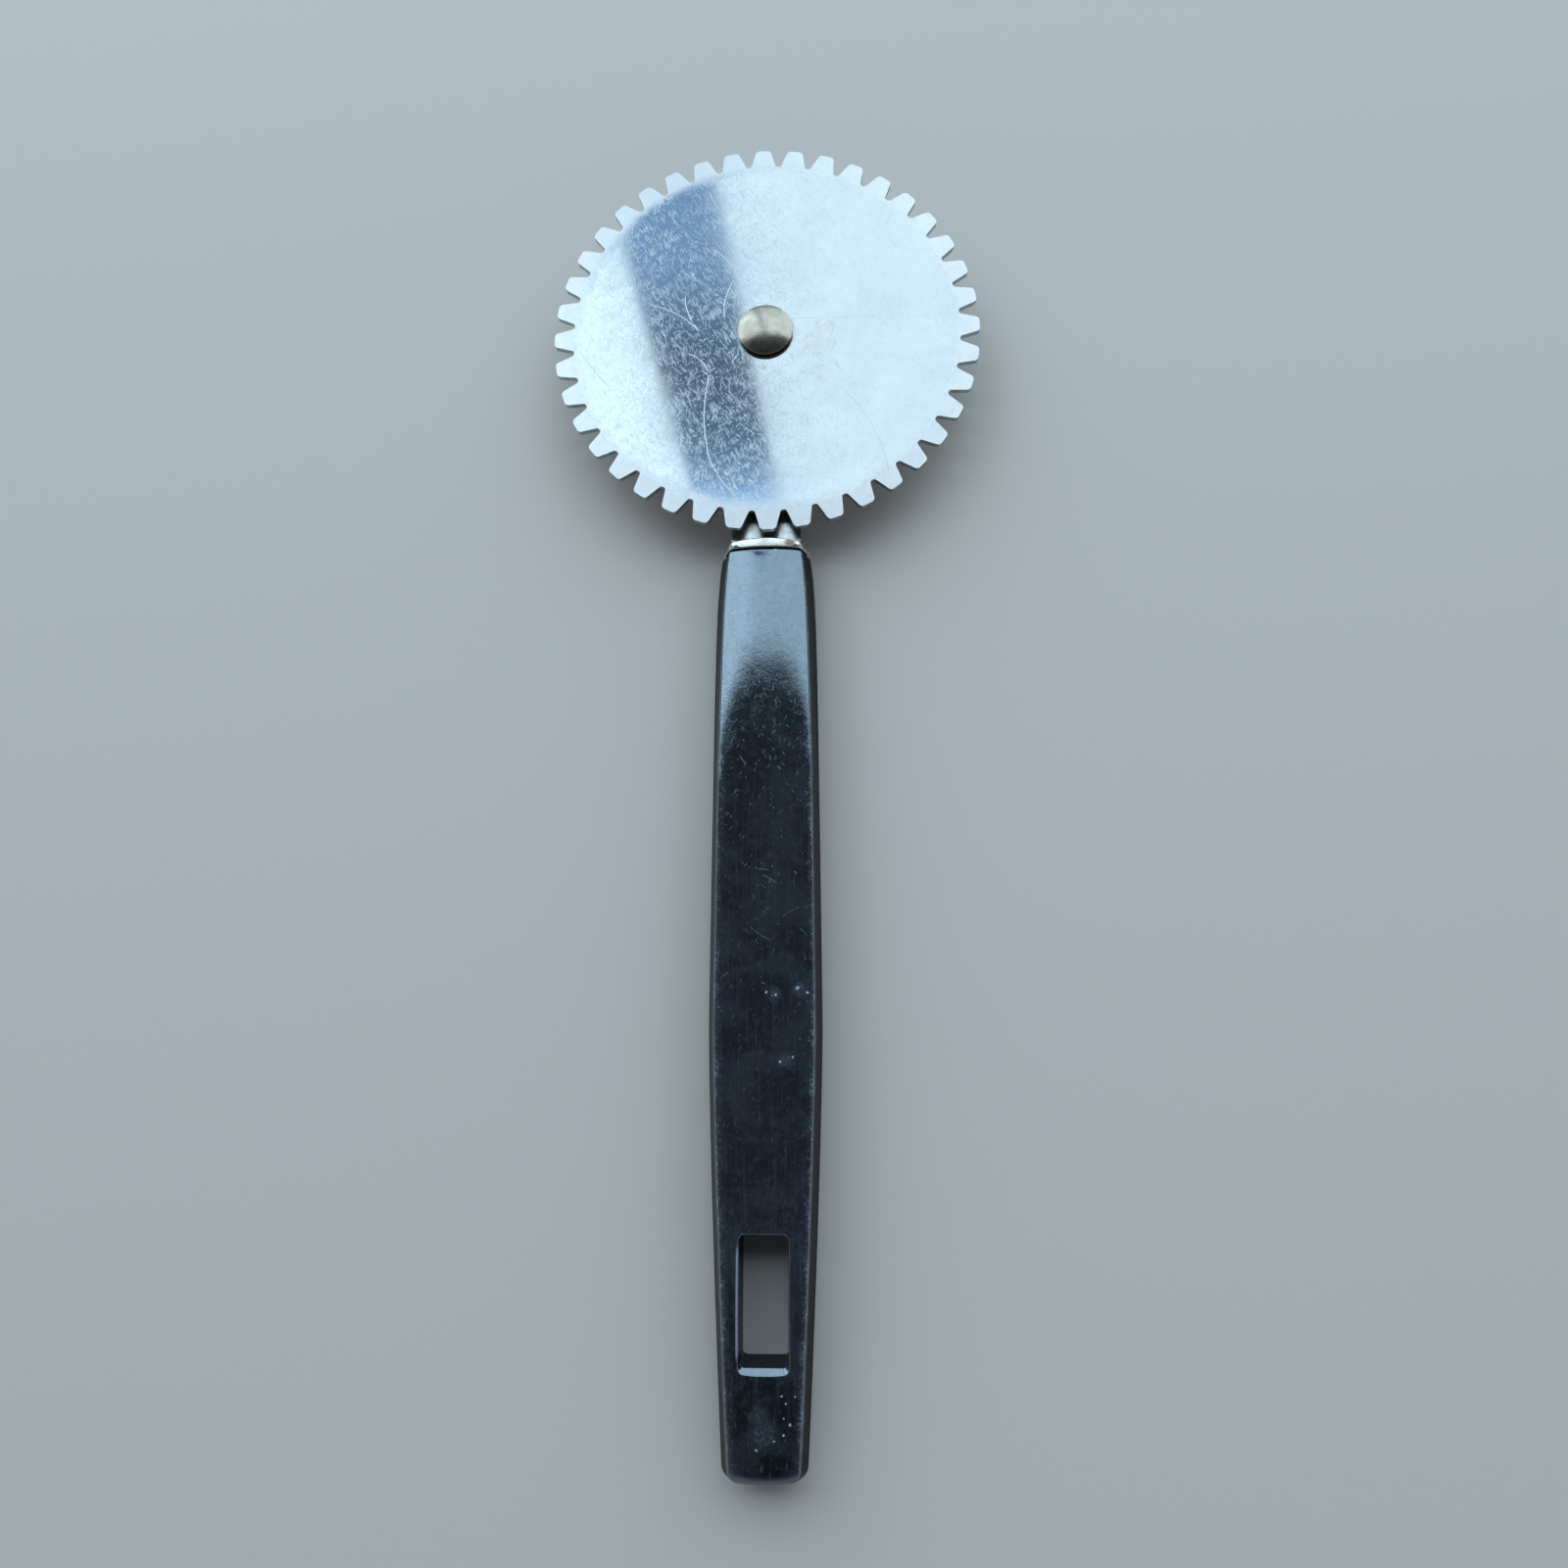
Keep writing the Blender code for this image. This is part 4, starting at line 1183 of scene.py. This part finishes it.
    swell = f.bump(f.noise(0.12, 2), 0.02)
    texture = f.bump(f.total((grain, 0.5), (streaks, 0.3), (mottle, 0.8)), 0.006, swell)
    sunk = f.largest((lines, 1.0), (nicks, 1.0), (worn, 1.0), (chips_and_glints, 1.0), (hazy, 0.15))
    f.set("Normal", f.bump(f.times(sunk, -1.0), 0.005, texture))
    return f.material


# Floor, light and camera


FLOOR_HALF_SIZE = 3.0
FLOOR_DROP = 0.1 * MM
FLOOR_COLOUR = (0.84, 0.79, 0.74, 1)
FLOOR_ROUGHNESS = 0.85


def make_floor():
    mesh = bpy.data.meshes.new("floor")
    corners = [(-1, -1), (1, -1), (1, 1), (-1, 1)]
    places = [(x * FLOOR_HALF_SIZE, y * FLOOR_HALF_SIZE, -FLOOR_DROP) for x, y in corners]
    mesh.from_pydata(places, [], [(0, 1, 2, 3)])
    material = bpy.data.materials.new("floor_pale")
    material.use_nodes = True
    shader = material.node_tree.nodes["Principled BSDF"]
    shader.inputs["Base Color"].default_value = FLOOR_COLOUR
    shader.inputs["Roughness"].default_value = FLOOR_ROUGHNESS
    mesh.materials.append(material)
    link("floor", mesh)


def glow(name, colour, axis, strengths):
    """A glowing cloth, whose strength changes along an axis: (place in metres, strength) pairs."""
    material = bpy.data.materials.new(name)
    material.use_nodes = True
    f = Nodes(material.node_tree)
    f.nodes.clear()
    place = f.axis(axis, f.node("TexCoord").outputs["Object"])
    made = strengths[0][1]
    for (start, before), (stop, after) in zip(strengths, strengths[1:]):
        made = f.math("ADD", f.step(place, start, stop, 0.0, after - before), made)
    light = f.node("Emission", color=(*colour, 1), strength=made)
    f.node("OutputMaterial", surface=light.outputs[0])
    return material


# The softbox hangs a metre off, square to a line from the wheel that leans from upright. The bar
# is drawn on it: each side has a place (across, up) and the slope that it leans with.
SOFTBOX_AIM = Vector((0, 0.058, 0))
SOFTBOX_LEAN = math.radians(50)
SOFTBOX_DISTANCE = 1.0
SOFTBOX_HALF_WIDTH = 1.4
SOFTBOX_LOW = -0.62
SOFTBOX_TOP = 0.613
BAR_TOP = 0.455
BAR_LEFT = (-0.191, 0.184, 0.186)
BAR_RIGHT = (-0.094, 0.134, 0.154)
CLOTH_COLOUR = (0.70, 0.89, 1.0)
BAR_COLOUR = (0.34, 0.62, 1.0)
CLOTH_GLOW = [(-0.35, 2.25), (0.0, 1.78)]
BAR_GLOW = [(0.79, 0.85), (0.87, 0.33), (0.93, 0.40), (0.965, 0.8), (0.99, 1.6)]

ROOM_LOW = (0.29, 0.31, 0.34)
ROOM_OVERHEAD = (0.042, 0.049, 0.063)
ROOM_BEHIND = (0.010, 0.013, 0.017)


def make_softbox():
    """A large pale panel with a dim upright bar across its lower part, as between two windows."""
    lean_y, lean_z = math.sin(SOFTBOX_LEAN), math.cos(SOFTBOX_LEAN)
    centre = SOFTBOX_AIM + SOFTBOX_DISTANCE * Vector((0, lean_y, lean_z))

    def at(across, up):
        return centre + Vector((across, -lean_z * up, lean_y * up))

    def row(up):
        bar = [at(x + (up - start) * slope, up) for x, start, slope in (BAR_LEFT, BAR_RIGHT)]
        return [at(-SOFTBOX_HALF_WIDTH, up), *bar, at(SOFTBOX_HALF_WIDTH, up)]

    top = [at(-SOFTBOX_HALF_WIDTH, SOFTBOX_TOP), at(SOFTBOX_HALF_WIDTH, SOFTBOX_TOP)]
    faces = [(0, 1, 5, 4), (1, 2, 6, 5), (2, 3, 7, 6), (4, 5, 6, 7, 9, 8)]
    mesh = bpy.data.meshes.new("softbox")
    mesh.from_pydata(row(SOFTBOX_LOW) + row(BAR_TOP) + top, [], faces)
    mesh.materials.append(glow("softbox_cloth", CLOTH_COLOUR, "X", CLOTH_GLOW))
    mesh.materials.append(glow("softbox_bar", BAR_COLOUR, "Z", BAR_GLOW))
    mesh.polygons[1].material_index = 1
    softbox = link("softbox", mesh)
    softbox.visible_camera = False


def make_world():
    """A dim room: darkest overhead and behind the camera."""
    world = bpy.data.worlds.new("room")
    bpy.context.scene.world = world
    world.use_nodes = True
    f = Nodes(world.node_tree)
    towards = f.node("TexCoord").outputs["Generated"]
    overhead = f.mix(f.step(f.axis("Y", towards), -0.5, -0.2), ROOM_BEHIND, ROOM_OVERHEAD)
    room = f.mix(f.step(f.axis("Z", towards), 0.3, 0.88), ROOM_LOW, overhead)
    f.put(f.nodes["Background"].inputs["Color"], room)


def make_camera():
    data = bpy.data.cameras.new("camera")
    data.lens = CAMERA_LENS
    data.clip_start = CAMERA_CLIP_START
    camera = link("camera", data)
    camera.location = CAMERA_PLACE
    camera.rotation_euler = Euler([math.radians(angle) for angle in CAMERA_TURN])
    bpy.context.scene.camera = camera


def main():
    nickel = nickel_plate()
    make_wheel(steel_face(), steel_edge())
    make_rivet(nickel)
    washers = [
        ("spacing_washer", RUNNING_HOLE, SPACER_LOW, SPACER_HIGH, "spacer_washer", "washer_body"),
        ("clinched_burr", FIXED_HOLE, BURR_LOW, BURR_HIGH, "rivet_burr", "handle_body"),
    ]
    for washer in washers:
        make_washer(*washer, nickel)
    make_shank(steel_shank())
    make_bolster(nickel_bolster())
    make_handle(handle_plastic())
    make_floor()
    make_softbox()
    make_world()
    make_camera()
    bpy.context.scene.view_settings.view_transform = "Standard"


main()
